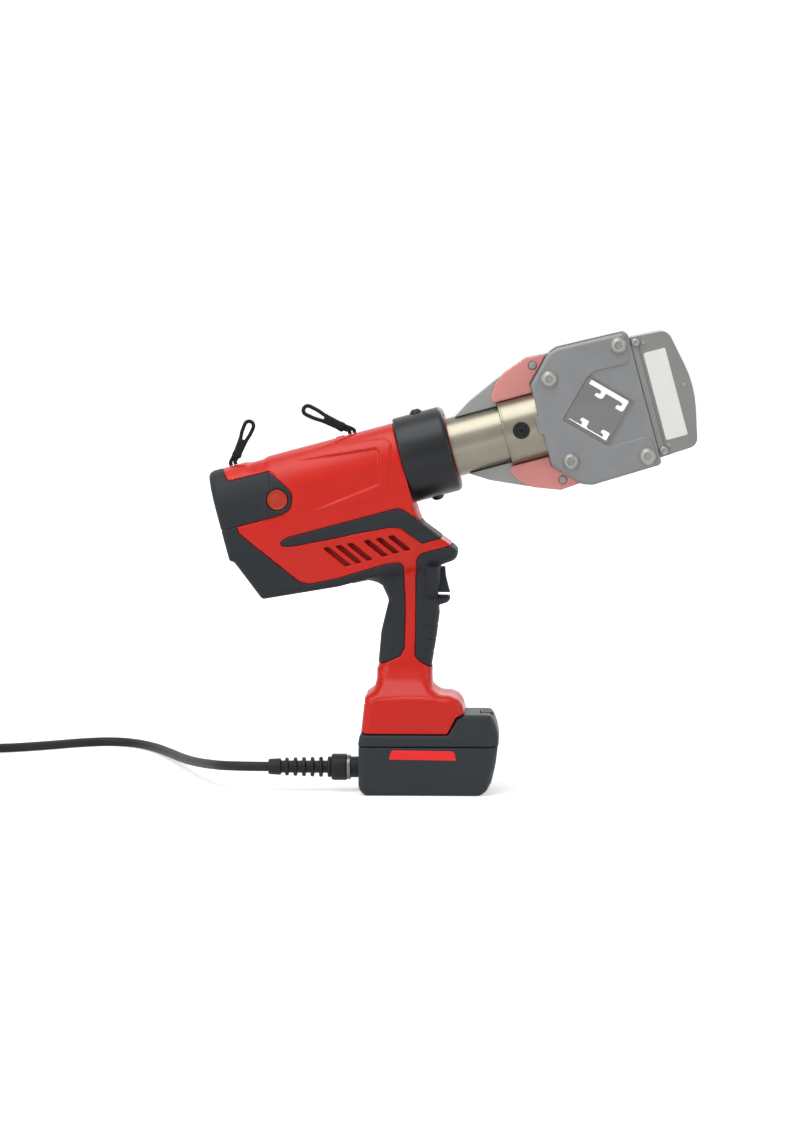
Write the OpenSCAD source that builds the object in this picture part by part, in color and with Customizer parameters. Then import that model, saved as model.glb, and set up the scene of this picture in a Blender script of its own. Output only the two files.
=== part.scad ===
// Hand-held hydraulic press tool with a rail-shear head, standing on its mains adapter.
// +X points forward, +Z up, +Y to the tool's left side. Sizes are in millimetres.

/* [Tool body] */
// Upward tilt of the barrel axis, in degrees
tilt = 15; // [10:1:20]
// Height of the barrel axis above the floor at the origin
axis_z = 305; // [300:1:312]
// Radius of the round upper body
body_r = 37; // [36:0.5:40]
// Distance from the origin back to the rear face, along the barrel
body_rear = 198; // [194:1:206]
// Distance from the origin back to the body's front face
body_front = 24; // [24:0.5:26]
// Depth of the underside below the barrel axis
body_drop = 93; // [92:1:98]
// Half width of the lower body at its underside
lower_half_w = 31; // [30:0.5:34]
// Wall of the housing shells
wall = 3; // [2.8:0.1:3.6]
// Thickness of the overmoulded rubber
skin = 1.8; // [1.2:0.1:2]
// Half width of the handle
handle_half_w = 19; // [18:0.5:21]
// Half width of the foot
foot_half_w = 38; // [36:0.5:40]
// Length of the housing screws
screw_len = 24; // [18:1:26]
// Radius of the housing screws
screw_r = 2; // [1.5:0.1:2.2]

/* [Controls] */
// Radius of the pressure release button
button_r = 9.5; // [8:0.5:10]
// Travel of the release button
button_travel = 3; // [2:0.5:3.5]
// Travel of the trigger
trigger_travel = 6; // [4:0.5:7]
// Half width of the trigger
trigger_half_w = 8; // [6:0.5:9]

/* [Drive] */
// Radius of the motor can
motor_r = 20; // [18:0.5:21]
// Length of the motor can
motor_len = 56; // [50:1:58]
// Depth of the motor shaft below the barrel axis
motor_drop = 64; // [63:0.5:66]
// Radius of the motor shaft
motor_shaft_r = 2.5; // [2:0.1:3]
// Radius of the eccentric shaft
cam_shaft_r = 4; // [3.5:0.1:5]
// Gear module
gear_m = 1.5; // [1.4:0.05:1.5]
// Teeth on the motor pinion
pinion_teeth = 12; // [12:1:12]
// Teeth on the drive gear
gear_teeth = 36; // [36:1:36]
// Face width of the gears
gear_w = 9; // [7:0.5:10]
// Throw of the pump eccentric
cam_throw = 2; // [1:0.25:2.5]
// Radius of the pump plunger
plunger_r = 4; // [3:0.25:5]

/* [Barrel] */
// Outer radius of the swivel collar
collar_r = 39.5; // [38:0.5:42]
// Length of the swivel collar
collar_len = 46; // [44:0.5:47]
// Outer radius of the cylinder tube
tube_r = 26.7; // [26:0.1:27.5]
// Bore radius of the cylinder
cyl_r = 22; // [21:0.25:22.5]
// Outer radius of the fork
fork_r = 31; // [30:0.25:31]
// Start of the fork along the barrel
fork_start = 70.5; // [69:0.5:72]
// End of the fork along the barrel
fork_end = 112; // [111:0.5:113]
// Radius of the ram's rod
rod_r = 10; // [8:0.25:11]
// Stroke of the ram
stroke = 20; // [14:1:20]
// Radius of the ram's rollers
roller_r = 9; // [8:0.25:9]
// Distance of the rollers from the barrel axis
roller_q = 11; // [10.5:0.25:11.25]
// Place of the jaw pin along the barrel
pin_p = 86; // [85:0.5:87]
// Radius of the jaw pin
pin_r = 7.5; // [6:0.25:8]

/* [Shear head] */
// Half height of the side plates
plate_half_h = 63; // [61:0.5:66]
// Thickness of the side plates
plate_t = 6.4; // [5:0.2:8]
// Rear edge of the side plates along the barrel
plate_rear = 104; // [103:0.5:106]
// Front edge of the side plates along the barrel
plate_front = 199; // [197:0.5:201]
// Front of the nose guard along the barrel
nose_front = 245; // [240:1:250]
// Half height of the nose guard
nose_half_h = 55; // [52:0.5:57]
// Wall of the nose guard
nose_wall = 5; // [4:0.5:6]
// Radius of the head bolts
bolt_r = 4; // [3.5:0.25:4]
// Radius of the bolt heads
bolt_head_r = 7.5; // [6.5:0.25:8]
// Centre of the shear dies along the barrel
die_p = 156; // [155.5:0.25:157]
// Half side of the square shear dies
die_half = 22.5; // [22:0.25:23]
// Distance of each rail slot's outer edge from the die centre
slot_off = 19.8; // [19:0.1:20]

/* [Mains adapter] */
// Length of the adapter
adapter_len = 128; // [126:1:132]
// Half width of the adapter
adapter_half_w = 38; // [36:0.5:40]
// Height of the adapter under the foot
adapter_h = 52; // [48:0.5:56]
// Height of the cover above the parting line
cover_h = 8; // [6:0.5:10]
// Height of the adapter's front step
step_z = 72; // [71:0.5:73]
// Travel of the latch
latch_travel = 3; // [2:0.5:3]

/* [Mains cord] */
// Diameter of the mains cord
cord_d = 8.8; // [8:0.1:8.8]
// Height of the cord's exit above the floor
cord_z = 22; // [20:0.5:24]
// Outer radius of the coil at the cord's middle
coil_r = 58; // [56:0.5:59]
// Distance between neighbouring turns and layers
coil_pitch = 9.4; // [9.4:0.1:10]
// Turns in each layer of the coil
layer_turns = 2; // [2:1:2]
// Layers in the coil
coil_layers = 4; // [4:2:4]
// Diameter of the strap loops' cord
loop_d = 3.4; // [3:0.1:3.8]
// Radius of the plug's pins
prong_r = 2.4; // [2:0.1:2.4]
// Distance between the plug's pins
prong_gap = 19; // [18.6:0.1:19.2]

/* [Hidden] */
$fn = 48;

// Clearance between pieces that move past each other
gap = 0.3;
// Radial clearance of a running shaft
run_gap = 0.05;
// Overlap that makes a cut pass cleanly through a face
over = 1;
// Reach of cutting prisms past the object
far = 400;

// Colours of the materials
red = [0.78, 0.17, 0.14];
rubber = [0.21, 0.23, 0.25];
black = [0.10, 0.10, 0.11];
nickel = [0.75, 0.71, 0.63];
steel = [0.60, 0.61, 0.62];
plate_grey = [0.45, 0.46, 0.47];
dusty_red = [0.76, 0.36, 0.36];
orange = [0.75, 0.25, 0.13];
bronze = [0.66, 0.47, 0.24];

// Frames and outlines

// Places children in the barrel's frame: X along the barrel, Z square to it
module barrel() {
    translate([0, 0, axis_z]) rotate([0, -tilt, 0]) children();
}

// Point of the side view, in the tool's frame, from barrel coordinates
function to_tool(p, q) = [p * cos(tilt) - q * sin(tilt), axis_z + p * sin(tilt) + q * cos(tilt)];

// Unit direction from one point to the next
function unit(a, b) = (b - a) / norm(b - a);
// Inward normal of an edge of an anticlockwise outline
function inward(u) = [-u[1], u[0]];
// Neighbouring corners of an outline, as plane points
function corner(pts, i) = let (n = len(pts), c = pts[(i + n) % n]) [c[0], c[1]];

// Outline moved inwards by d; each corner is [x, y, radius]
function inset(pts, d) = [
    for (i = [0 : len(pts) - 1])
        let (
            b = corner(pts, i),
            u = unit(corner(pts, i - 1), b),
            v = unit(b, corner(pts, i + 1)),
            turn = u[0] * v[1] - u[1] * v[0],
            at = b + d * (inward(u) + inward(v)) / (1 + u * v),
            r = turn > 0 ? max(pts[i][2] - d, 0) : pts[i][2] + d
        )
        [at[0], at[1], pts[i][2] == 0 ? 0 : r]
];

// Outline with its corners rounded to their radii
function rounded(pts, steps = 4) = [
    for (i = [0 : len(pts) - 1])
        let (
            b = corner(pts, i),
            u = unit(corner(pts, i - 1), b),
            v = unit(b, corner(pts, i + 1)),
            turn = atan2(u[0] * v[1] - u[1] * v[0], u * v),
            r = pts[i][2],
            s = b - u * r * tan(abs(turn) / 2),
            c = s + inward(u) * r * sign(turn)
        )
        each r == 0 ? [b] : [
            for (k = [0 : steps])
                let (a = turn * k / steps, d = s - c)
                [c[0] + d[0] * cos(a) - d[1] * sin(a), c[1] + d[0] * sin(a) + d[1] * cos(a)]
        ]
];

// Side outline, drawn in X and Z, extruded from y0 to y1
module side_prism(pts, y0, y1) {
    translate([0, y1, 0]) rotate([90, 0, 0]) linear_extrude(y1 - y0) polygon(pts);
}

// End outline, drawn in Y and Z, extruded from x0 to x1
module end_prism(pts, x0, x1) {
    translate([x0, 0, 0]) rotate([90, 0, 90]) linear_extrude(x1 - x0) polygon(pts);
}

// Box between two corners
module block(low, high) {
    translate(low) cube(high - low);
}

// Rod along X from x0 to x1
module rod_x(r, x0, x1) {
    translate([x0, 0, 0]) rotate([0, 90, 0]) cylinder(r = r, h = x1 - x0);
}

// Rod along Y from y0 to y1
module rod_y(r, y0, y1) {
    translate([0, y1, 0]) rotate([90, 0, 0]) cylinder(r = r, h = y1 - y0);
}

// Ring along X
module ring_x(r_out, r_in, x0, x1) {
    difference() {
        rod_x(r_out, x0, x1);
        rod_x(r_in, x0 - over, x1 + over);
    }
}

// Upright rounded rectangle from x0 to x1
module plan_prism(x0, x1, half_w, r, z0, z1) {
    pts = rounded([[x0, -half_w, r], [x1, -half_w, r], [x1, half_w, r], [x0, half_w, r]], 5);
    translate([0, 0, z0]) linear_extrude(z1 - z0) polygon(pts);
}

// Swept tubes

// Frame of each ring along a route: the side and the crown direction
function ring_axes(route, k, ref) =
    let (
        n = len(route),
        t = unit(route[max(k - 1, 0)], route[min(k + 1, n - 1)]),
        side = cross(t, ref) / norm(cross(t, ref))
    )
    [side, cross(side, t)];

// Tube of radius r along a route of points, with triangle faces
module tube(route, r, sides, ref) {
    n = len(route);
    points = [
        for (k = [0 : n - 1])
            let (axes = ring_axes(route, k, ref))
            for (s = [0 : sides - 1])
                route[k] + r * (axes[0] * cos(360 * s / sides) + axes[1] * sin(360 * s / sides))
    ];
    walls = [
        for (k = [0 : n - 2], s = [0 : sides - 1])
            let (a = k * sides + s, b = k * sides + (s + 1) % sides)
            each [[a, b, a + sides], [b, b + sides, a + sides]]
    ];
    last = (n - 1) * sides;
    ends = [
        for (s = [1 : sides - 2])
            each [[0, s + 1, s], [last, last + s, last + s + 1]]
    ];
    polyhedron(points, concat(walls, ends), convexity = 6);
}

// Helix about the X axis from x0 to x1, its ends along a circle
function helix(r, x0, x1, turns, steps = 8) = [
    for (k = [0 : turns * steps])
        let (a = 360 * k / steps)
        [x0 + (x1 - x0) * k / (turns * steps), r * cos(a), r * sin(a)]
];

// Least distance between parts of a route that lie at least a given number of points apart
function self_distance(route, apart) = min([
    for (i = [0 : len(route) - 1 - apart], j = [i + apart : len(route) - 1])
        norm(route[i] - route[j])
]);

// The tool's outer form

// Fall of the lower body's widest line below the barrel axis
shoulder_q = -36;
// Line where the lower body's taper eases
taper_q = -58;
// Height where the foot sits on the adapter
foot_z = adapter_h + gap;
// Front and rear ends of the foot
foot_x0 = -62;
foot_x1 = 34.5;

// Body in barrel coordinates
body_outline = [
    [-body_rear + 20, -body_drop + 7, 5],
    [-108, -body_drop, 20],
    [-32, -body_drop, 0],
    [-body_front, -44, 0],
    [-body_front, body_r, 0],
    [-body_rear, body_r, 6],
    [-body_rear, -45, 3],
    [-body_rear + 5.5, -48, 2]
];

// Cross-section of the body: round top, straight sides, tapered lower part
function body_section(i) = concat(
    [for (a = [0 : 12 : 180]) (body_r - i) * [cos(a), sin(a)]],
    [[i - body_r, shoulder_q], [i - lower_half_w - 3, taper_q], [i - lower_half_w, -body_drop - 12]],
    [[lower_half_w - i, -body_drop - 12], [lower_half_w + 3 - i, taper_q], [body_r - i, shoulder_q]]
);

// Handle, trigger bay, hood and finger lip
bay_x = 2;
bay_z0 = 178;
bay_z1 = 206;
handle_outline = [
    [-46.5, 96, 0], [1.8, 96, 0], [1.8, 111, 20], [7.2, 140, 30], [8.5, 166, 3],
    [18, 171, 2.5], [18, bay_z0, 1.5], [bay_x, bay_z0, 0], [bay_x, bay_z1, 0], [15, bay_z1, 1],
    [25.2, 210.5, 3], [25.2, 217.5, 4], [18, 228.5, 6], [-4.5, 245.6, 6], [-13.5, 256, 0],
    [-20, 262, 0], [-75, 235, 0], [-66, 193.5, 0], [-52, 193.5, 6], [-40, 184.5, 8],
    [-37, 172, 12], [-43.5, 146, 40], [-46.5, 120, 20]
];

// Front view of the handle and foot: half widths against height
function front_half(i) = [
    [foot_half_w - i, 40], [foot_half_w - i, 84], [foot_half_w - 7 - i, 95],
    [handle_half_w + 2 - i, 106], [handle_half_w - i, 122], [handle_half_w - 0.5 - i, 150],
    [handle_half_w + 0.5 - i, 180], [handle_half_w + 5 - i, 198], [lower_half_w - 1 - i, 214],
    [lower_half_w + 2 - i, 266]
];
function front_section(i) = concat(
    front_half(i),
    [for (k = [len(front_half(i)) - 1 : -1 : 0]) [-front_half(i)[k][0], front_half(i)[k][1]]]
);

foot_outline = [
    [foot_x0 + 1, foot_z, 0], [17, foot_z, 0], [27, 68, 3], [31, step_z + gap, 0],
    [foot_x1, step_z + gap, 0], [foot_x1, 78, 4], [29, 87, 6], [20, 91.5, 8],
    [6, 94, 10], [1.8, 104, 6], [1.8, 112, 0], [-46.5, 112, 0], [-46.5, 103, 10],
    [-58.5, 88, 6], [foot_x0, 66, 6]
];

module body_solid(i) {
    barrel() intersection() {
        side_prism(rounded(inset(body_outline, i)), -far, far);
        end_prism(body_section(i), -far, far);
    }
}

module handle_solid(i) {
    intersection() {
        side_prism(rounded(inset(handle_outline, i)), -far, far);
        end_prism(front_section(i), -far, far);
        plan_prism(-76, 26, lower_half_w + 2, 6, 90, 270);
    }
}

module foot_solid(i) {
    intersection() {
        side_prism(rounded(inset(foot_outline, i)), -far, far);
        end_prism(front_section(i), -far, far);
        plan_prism(foot_x0 + i, foot_x1 - i, foot_half_w - i, 9, 40, 120);
    }
}

module tool_solid(i) {
    body_solid(i);
    handle_solid(i);
    foot_solid(i);
}

// Regions of the side view that each rubber piece covers

// Centre of the release button in barrel coordinates
button_p = -140;
button_q = -3.5;
lobe_r = button_r + 4.5;
seam_q = button_q - lobe_r;

rear_cover_region = concat(
    [[-body_rear - 9, seam_q], [button_p, seam_q]],
    [for (a = [-75 : 15 : 30]) [button_p + lobe_r * cos(a), button_q + lobe_r * sin(a)]],
    [[-141, 22.8], [-179, 23.3], [-186, body_r + 9], [-body_rear - 9, body_r + 9]]
);

// Outline of the rear grip: tail bumper, underside and back of the handle
rear_grip_region = concat(
    [for (c = [
        [-body_rear - 9, seam_q], [-body_rear - 9, -body_drop - 9], [-70, -body_drop - 9]
    ]) to_tool(c[0], c[1])],
    [[-60, 118], [-39, 118.7], [-27.3, 124], [-22.8, 130.5], [-20.9, 168], [-21.9, 206], [-25, 209.5]],
    [for (c = [
        [-61, -84], [-107, -85.4], [-132, -84], [-140.4, -79.6], [-181, -24], [-181.5, seam_q]
    ]) to_tool(c[0], c[1])]
);

front_grip_region = [
    [33, 106], [33, 226], [17.8, 223.5], [-6.5, 217], [-10, 212.6], [-11, 196], [-11.9, 122.4],
    [-5.6, 116], [2.5, 111.6]
];

inlay_region = [
    [-148.5, -41.5], [-145.3, -45.7], [-134.6, -47.6], [-50, -53], [-41.6, -55.4], [-25.3, -74.7],
    [6, -74.7], [-2, -56], [-16.8, -60.2], [-35.4, -39.4], [-38.9, -38.4], [-140.6, -38.5]
];

// Every rubber region, as prisms through the tool
module rubber_regions() {
    barrel() side_prism(rear_cover_region, -far, far);
    side_prism(rear_grip_region, -far, far);
    side_prism(front_grip_region, -far, far);
    barrel() side_prism(inlay_region, -far, far);
}

// Outer layer of the tool, as thick as the rubber
module rubber_layer(y0, y1) {
    difference() {
        intersection() {
            tool_solid(0);
            translate([-far, y0, 0]) cube([2 * far, y1 - y0, 2 * far]);
        }
        tool_solid(skin);
    }
}

// Places of the drive inside the body, along the barrel

rear_rib_p = -178;
mid_rib_p = -156;
rib_t = 5;
cradle_p = -112;
motor_p = mid_rib_p + rib_t;
motor_q = -motor_drop;
cam_q = motor_q + gear_m * (pinion_teeth + gear_teeth) / 2;
gear_p = -170;
bearing_wall = 3.5;
motor_bearing_r = motor_shaft_r + bearing_wall;
cam_bearing_r = cam_shaft_r + bearing_wall;
cam_p0 = -147;
cam_p1 = -135;
cam_r = cam_shaft_r + cam_throw + 2;
block_q0 = cam_q + cam_r + cam_throw + 0.5;
block_q1 = 24;
block_half_w = 22;
block_p0 = -149;
tube_p0 = -70;
block_p1 = tube_p0 - gap;
spigot_r = 8;
flange_r = tube_r + 4.3;
flange_p = -body_front - wall - 1 - 6;

// Screw posts in tool coordinates, by side view
screw_seat_y = 12;
screw_head_r = screw_r + 1.8;
screw_head_h = 3;
post_r = 5;
screw_places = [
    to_tool(-187, 19), to_tool(-62, -48), to_tool(-36, -62), [-27, 141], [-46, 77], [14, 82]
];

// Cooling slots on both flanks: two groups of three
slot_w = 3.3;
slot_low_q = -77;
slot_lean = -54;
slot_tops = [[-109.5, -56], [-98.5, -57], [-88, -57.8], [-73, -58.9], [-62, -59.7], [-51, -60.5]];

module cooling_slots() {
    for (s = slot_tops) {
        len = (s[1] - slot_low_q) / sin(-slot_lean);
        translate([s[0], 0, s[1]]) rotate([0, -slot_lean, 0])
            block([0, -far, -slot_w / 2], [len, far, slot_w / 2]);
    }
}

// Space taken by the drive where it passes through the ribs
module rib_openings() {
    translate([0, 0, motor_q]) rod_x(motor_bearing_r, rear_rib_p - over, mid_rib_p + rib_t + over);
    translate([0, 0, cam_q]) rod_x(cam_bearing_r, rear_rib_p - over, mid_rib_p + rib_t + over);
    translate([0, 0, motor_q]) rod_x(motor_r, motor_p, motor_p + motor_len);
    block([block_p0, -block_half_w, block_q0], [block_p1, block_half_w, block_q1]);
}

module ribs() {
    intersection() {
        body_solid(wall - 0.01);
        barrel() difference() {
            for (p = [rear_rib_p, mid_rib_p, cradle_p])
                block([p, -far, -far], [p + rib_t, far, far]);
            rib_openings();
        }
    }
}

module screw_posts(y0, y1) {
    for (s = screw_places)
        translate([s[0], 0, s[1]]) rod_y(post_r, y0, y1);
}

module screw_holes() {
    for (s = screw_places)
        translate([s[0], 0, s[1]]) {
            rod_y(screw_r, screw_seat_y - screw_len, screw_seat_y + over);
            rod_y(screw_head_r + gap, screw_seat_y, far);
        }
}

// Opening under the foot and through its front, where the adapter's rail slides in
rail_half_w = 18;
rail_h = 10;
rail_x0 = -45;
rail_x1 = 8;

module foot_opening() {
    half_w = foot_half_w - wall;
    block([foot_x0 + wall, -half_w, foot_z - over], [15, half_w, foot_z + wall + over]);
    block([rail_x0 - 4, -rail_half_w - 4, foot_z - over], [foot_x1 + over, rail_half_w + 4, step_z - 4]);
}

// Both halves as one shell; the halves are cut from it
module shell() {
    difference() {
        tool_solid(0);
        difference() {
            tool_solid(wall);
            ribs();
            screw_posts(-far, far);
        }
        difference() {
            rubber_regions();
            tool_solid(skin);
        }
        foot_opening();
        screw_holes();
        // Bore for the barrel, through the front wall
        barrel() rod_x(tube_r + gap, -body_front - 3 * wall, 20);
        barrel() cooling_slots();
        // Passage for the trigger's stem
        block([-30, -trigger_half_w - gap, bay_z0 + 2], [bay_x + over, trigger_half_w + gap, bay_z1 - 2]);
        // Way into the handle from the body
        barrel() block([-78, -12, -body_drop - 8], [-44, 12, -body_drop + 8]);
    }
}

module housing_right() {
    color(red) difference() {
        intersection() {
            shell();
            block([-far, -far, 0], [far, 0, 2 * far]);
        }
        barrel() translate([button_p, 0, button_q]) rod_y(button_r + gap, -far, -block_half_w);
    }
}

module housing_left() {
    color(red) intersection() {
        shell();
        block([-far, 0, 0], [far, far, 2 * far]);
    }
}

module rear_cover() {
    color(rubber) difference() {
        intersection() {
            rubber_layer(-far, far);
            barrel() side_prism(rear_cover_region, -far, far);
        }
        barrel() translate([button_p, 0, button_q]) rod_y(button_r + gap, -far, 0);
        screw_holes();
    }
}

module rubber_patch(region, y0, y1) {
    color(rubber) difference() {
        intersection() {
            rubber_layer(y0, y1);
            side_prism(region, -far, far);
        }
        screw_holes();
        block([-30, -trigger_half_w - gap, bay_z0 + 2], [bay_x + over, trigger_half_w + gap, bay_z1 - 2]);
    }
}

module rear_grip_right() rubber_patch(rear_grip_region, -far, 0);
module rear_grip_left() rubber_patch(rear_grip_region, 0, far);
module front_grip_right() rubber_patch(front_grip_region, -far, 0);
module front_grip_left() rubber_patch(front_grip_region, 0, far);

module side_inlays() {
    color(rubber) difference() {
        intersection() {
            rubber_layer(-far, far);
            barrel() side_prism(inlay_region, -far, far);
        }
        barrel() cooling_slots();
        screw_holes();
    }
}

module housing_screws() {
    color(steel) for (s = screw_places)
        translate([s[0], 0, s[1]]) difference() {
            union() {
                rod_y(screw_r, screw_seat_y - screw_len, screw_seat_y);
                rod_y(screw_head_r, screw_seat_y, screw_seat_y + screw_head_h);
            }
            rod_y(1.2, screw_seat_y + 1, screw_seat_y + screw_head_h + over);
        }
}

// Strap loops, as [along, across, up] points in barrel coordinates: two strands side by side
// that part into an eye at the tip

loop_gap = 0.4;
loop_foot = (loop_d + 0.8) / 2;
loop_side = (loop_d + loop_gap) / 2;
loop_eye = loop_d * 1.2;
loop_base_q = body_r + 0.3;
function loop_half(t) = t < 0.45 ? loop_side
    : loop_side + (loop_eye - loop_side) * (1 - cos(180 * min(1, (t - 0.45) / 0.45))) / 2;
function loop_point(base, along, across, len_, t, side) =
    base + along * len_ * t + across * side * loop_half(t);
function loop_route(base_p, tip) = let (
        base = [base_p, 0, loop_base_q],
        along = (tip - base) / norm(tip - base),
        across = [-along[2], 0, along[0]],
        len_ = norm(tip - base) - loop_eye,
        eye = base + along * len_)
    concat(
        [base + [-loop_foot, 0, 0], base + [-loop_foot, 0, 1.5]],
        [for (t = [0.24, 0.38, 0.52, 0.66, 0.8, 0.92]) loop_point(base, along, across, len_, t, 1)],
        [for (a = [90 : -30 : -90]) eye + (along * cos(a) + across * sin(a)) * loop_eye],
        [for (t = [0.92, 0.8, 0.66, 0.52, 0.38, 0.24]) loop_point(base, along, across, len_, t, -1)],
        [base + [loop_foot, 0, 1.5], base + [loop_foot, 0, 0]]);
loop_rear_route = loop_route(-172.3, [-147.4, 0, 69.2]);
loop_front_route = loop_route(-62.2, [-98.2, 0, 68.4]);

module strap_loop_rear() color(black) barrel() tube(loop_rear_route, loop_d / 2, 8, [0, 1, 0]);
module strap_loop_front() color(black) barrel() tube(loop_front_route, loop_d / 2, 8, [0, 1, 0]);

// Trigger and switch

switch_x0 = -33;
switch_x1 = -8;
stem_half = 4;
trigger_rest_x = switch_x1 + trigger_travel + 2;

module trigger() {
    zm = (bay_z0 + bay_z1) / 2;
    pts = [
        [bay_x - 2, bay_z0 + 3], [19, bay_z0 + 3], [17, bay_z0 + 10], [15.2, bay_z0 + 18],
        [14.6, bay_z1 - 2.5], [bay_x - 2, bay_z1 - 2.5]
    ];
    color(black) {
        side_prism(pts, -trigger_half_w, trigger_half_w);
        translate([trigger_rest_x, 0, zm]) rod_x(stem_half, switch_x1 + 0.6 - trigger_rest_x, 5);
    }
}

spring_wire = 0.9;

module trigger_spring() {
    zm = (bay_z0 + bay_z1) / 2;
    // The helix has eight chords a turn, and clears the stem at their middles
    r = (stem_half + spring_wire / 2 + gap) / cos(180 / 8);
    color(steel) translate([0, 0, zm])
        tube(helix(r, switch_x1 + spring_wire, bay_x - 2 - spring_wire, 3), spring_wire / 2, 6, [1, 0, 0]);
}

module trigger_switch() {
    color(black) difference() {
        block([switch_x0, -11, bay_z0 - 2], [switch_x1, 11, bay_z1 + 2]);
        translate([0, 0, (bay_z0 + bay_z1) / 2]) rod_x(stem_half + gap, switch_x1 - trigger_travel - 1, 0);
    }
}

// Release button and its valve

valve_r = 3;

module release_button() {
    color(orange) barrel() translate([button_p, 0, button_q]) {
        rod_y(button_r, -body_r + 0.6, -body_r + 6);
        rod_y(5, -body_r + 5, -block_half_w - button_travel - 2.2);
    }
}

module release_valve() {
    color(steel) barrel() translate([button_p, 0, button_q]) {
        rod_y(valve_r, -block_half_w - 2, -block_half_w + 4);
        rod_y(valve_r + 1.5, -block_half_w - 1, -block_half_w);
    }
}

// Motor, gears and pump

shaft_p0 = rear_rib_p;
fan_p = motor_p + motor_len + 1;
fan_t = 6;

module motor_can() {
    color(steel) barrel() translate([0, 0, motor_q]) difference() {
        rod_x(motor_r, motor_p, motor_p + motor_len);
        rod_x(motor_r - 2, motor_p + 3, motor_p + motor_len - 3);
        rod_x(motor_shaft_r + run_gap, motor_p - over, motor_p + motor_len + over);
    }
}

// Spur gear outline with straight-sided teeth; turn is the angle of its first tooth
function gear_points(teeth, turn) = [
    for (k = [0 : teeth - 1])
        let (
            pitch = 360 / teeth,
            root = gear_m * (teeth / 2 - 1.25),
            tip = gear_m * (teeth / 2 + 0.9),
            a = turn + k * pitch
        )
        each [
            for (c = [[root, -0.30], [tip, -0.09], [tip, 0.09], [root, 0.30]])
                c[0] * [cos(a + c[1] * pitch), sin(a + c[1] * pitch)]
        ]
];

module gear(teeth, turn, bore_r) {
    translate([gear_p, 0, 0]) rotate([90, 0, 90]) difference() {
        linear_extrude(gear_w) polygon(gear_points(teeth, turn));
        translate([0, 0, -over]) cylinder(r = bore_r, h = gear_w + 2 * over);
    }
}

module motor_rotor() {
    color(steel) barrel() translate([0, 0, motor_q]) {
        rod_x(motor_shaft_r, shaft_p0, fan_p + fan_t);
        rod_x(motor_r - 4, motor_p + 8, motor_p + motor_len - 8);
        gear(pinion_teeth, 90, 1);
    }
}

module cooling_fan() {
    hub = motor_shaft_r + 2.5;
    color(black) barrel() translate([0, 0, motor_q]) difference() {
        union() {
            rod_x(hub, fan_p, fan_p + fan_t);
            rod_x(motor_r - 2, fan_p, fan_p + 1.2);
            for (a = [0 : 45 : 315])
                rotate([a, 0, 0]) block([fan_p, -0.6, hub - 1], [fan_p + fan_t, 0.6, motor_r - 3]);
        }
        rod_x(motor_shaft_r, fan_p - over, fan_p + fan_t + over);
    }
}

module shaft_bearings() {
    color(bronze) barrel() for (p = [rear_rib_p, mid_rib_p]) {
        translate([0, 0, motor_q]) ring_x(motor_bearing_r, motor_shaft_r + run_gap, p, p + rib_t);
        translate([0, 0, cam_q]) ring_x(cam_bearing_r, cam_shaft_r + run_gap, p, p + rib_t);
    }
}

module drive_gear() {
    color(steel) barrel() translate([0, 0, cam_q]) gear(gear_teeth, -90 + 180 / gear_teeth, cam_shaft_r);
}

module eccentric_shaft() {
    color(steel) barrel() translate([0, 0, cam_q]) {
        rod_x(cam_shaft_r, shaft_p0, cam_p1);
        translate([0, 0, cam_throw]) rod_x(cam_r, cam_p0, cam_p1);
    }
}

plunger_p = (cam_p0 + cam_p1) / 2;
plunger_q0 = cam_q + cam_r + cam_throw + gap;
plunger_len = 26;

module pump_block() {
    color(steel) barrel() difference() {
        block([block_p0, -block_half_w, block_q0], [block_p1, block_half_w, block_q1]);
        translate([plunger_p, 0, block_q0 - over]) cylinder(r = plunger_r + run_gap, h = plunger_len + 2);
        rod_x(spigot_r + run_gap, tube_p0 - 12, 0);
        translate([button_p, 0, button_q]) rod_y(valve_r, -far, -block_half_w + 4);
        // Lightening pocket on the far side, behind the plunger
        block([-125, 4, -6], [-90, far, 14]);
    }
}

module pump_plunger() {
    color(steel) barrel() translate([plunger_p, 0, plunger_q0])
        cylinder(r = plunger_r, h = plunger_len - 1);
}

module oil_reservoir() {
    q0 = motor_q + motor_r + 2;
    pts = rounded([[-106, q0, 6], [-78, q0, 6], [-78, block_q0, 3], [-106, block_q0, 3]]);
    color(black) barrel() side_prism(pts, -24, 24);
}

// Wires from the terminals through the handle to the switch, and on to the motor
wire_r = 1.6;
terminal_z = foot_z + rail_h + 2;
wire_supply = [[-20, -6, terminal_z + 10], [-20, -6, 92], [-16, -7, 104], [-14, -8, 125], [-15, -8, 150],
    [-17, -6, 168], [-18, -4, bay_z0 - 2]];
wire_side = motor_r + wire_r + gap;
wire_motor = concat(
    [[-20, 0, bay_z1 + 2], [-20, 0, 212], [-26, 0, 219], [-38, 4, 221], [-50, 11, 222]],
    [for (c = [[-84, 19, -66], [-92, wire_side, -65], [-98, wire_side, -64], [-104, wire_side, -64]])
        let (place = to_tool(c[0], c[2])) [place[0], c[1], place[1]]]
);

module wire_harness() {
    color(red) {
        tube(wire_supply, wire_r, 8, [0, 1, 0]);
        mirror([0, 1, 0]) tube(wire_supply, wire_r, 8, [0, 1, 0]);
        tube(wire_motor, wire_r, 8, [0, 1, 0]);
    }
}

module terminal_block() {
    color(black) {
        block([-38, -14, terminal_z], [2, 14, terminal_z + 10]);
        // Ledge into the foot's flanks, which carry the block
        block([-30, -foot_half_w + wall, terminal_z + 4], [-6, foot_half_w - wall, terminal_z + 8]);
    }
}

// Barrel

collar_p0 = -body_front;
collar_p1 = collar_p0 + collar_len;
bush_r = tube_r + 3.3;
nub_r = 4.2;
collar_round = 4;

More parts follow.
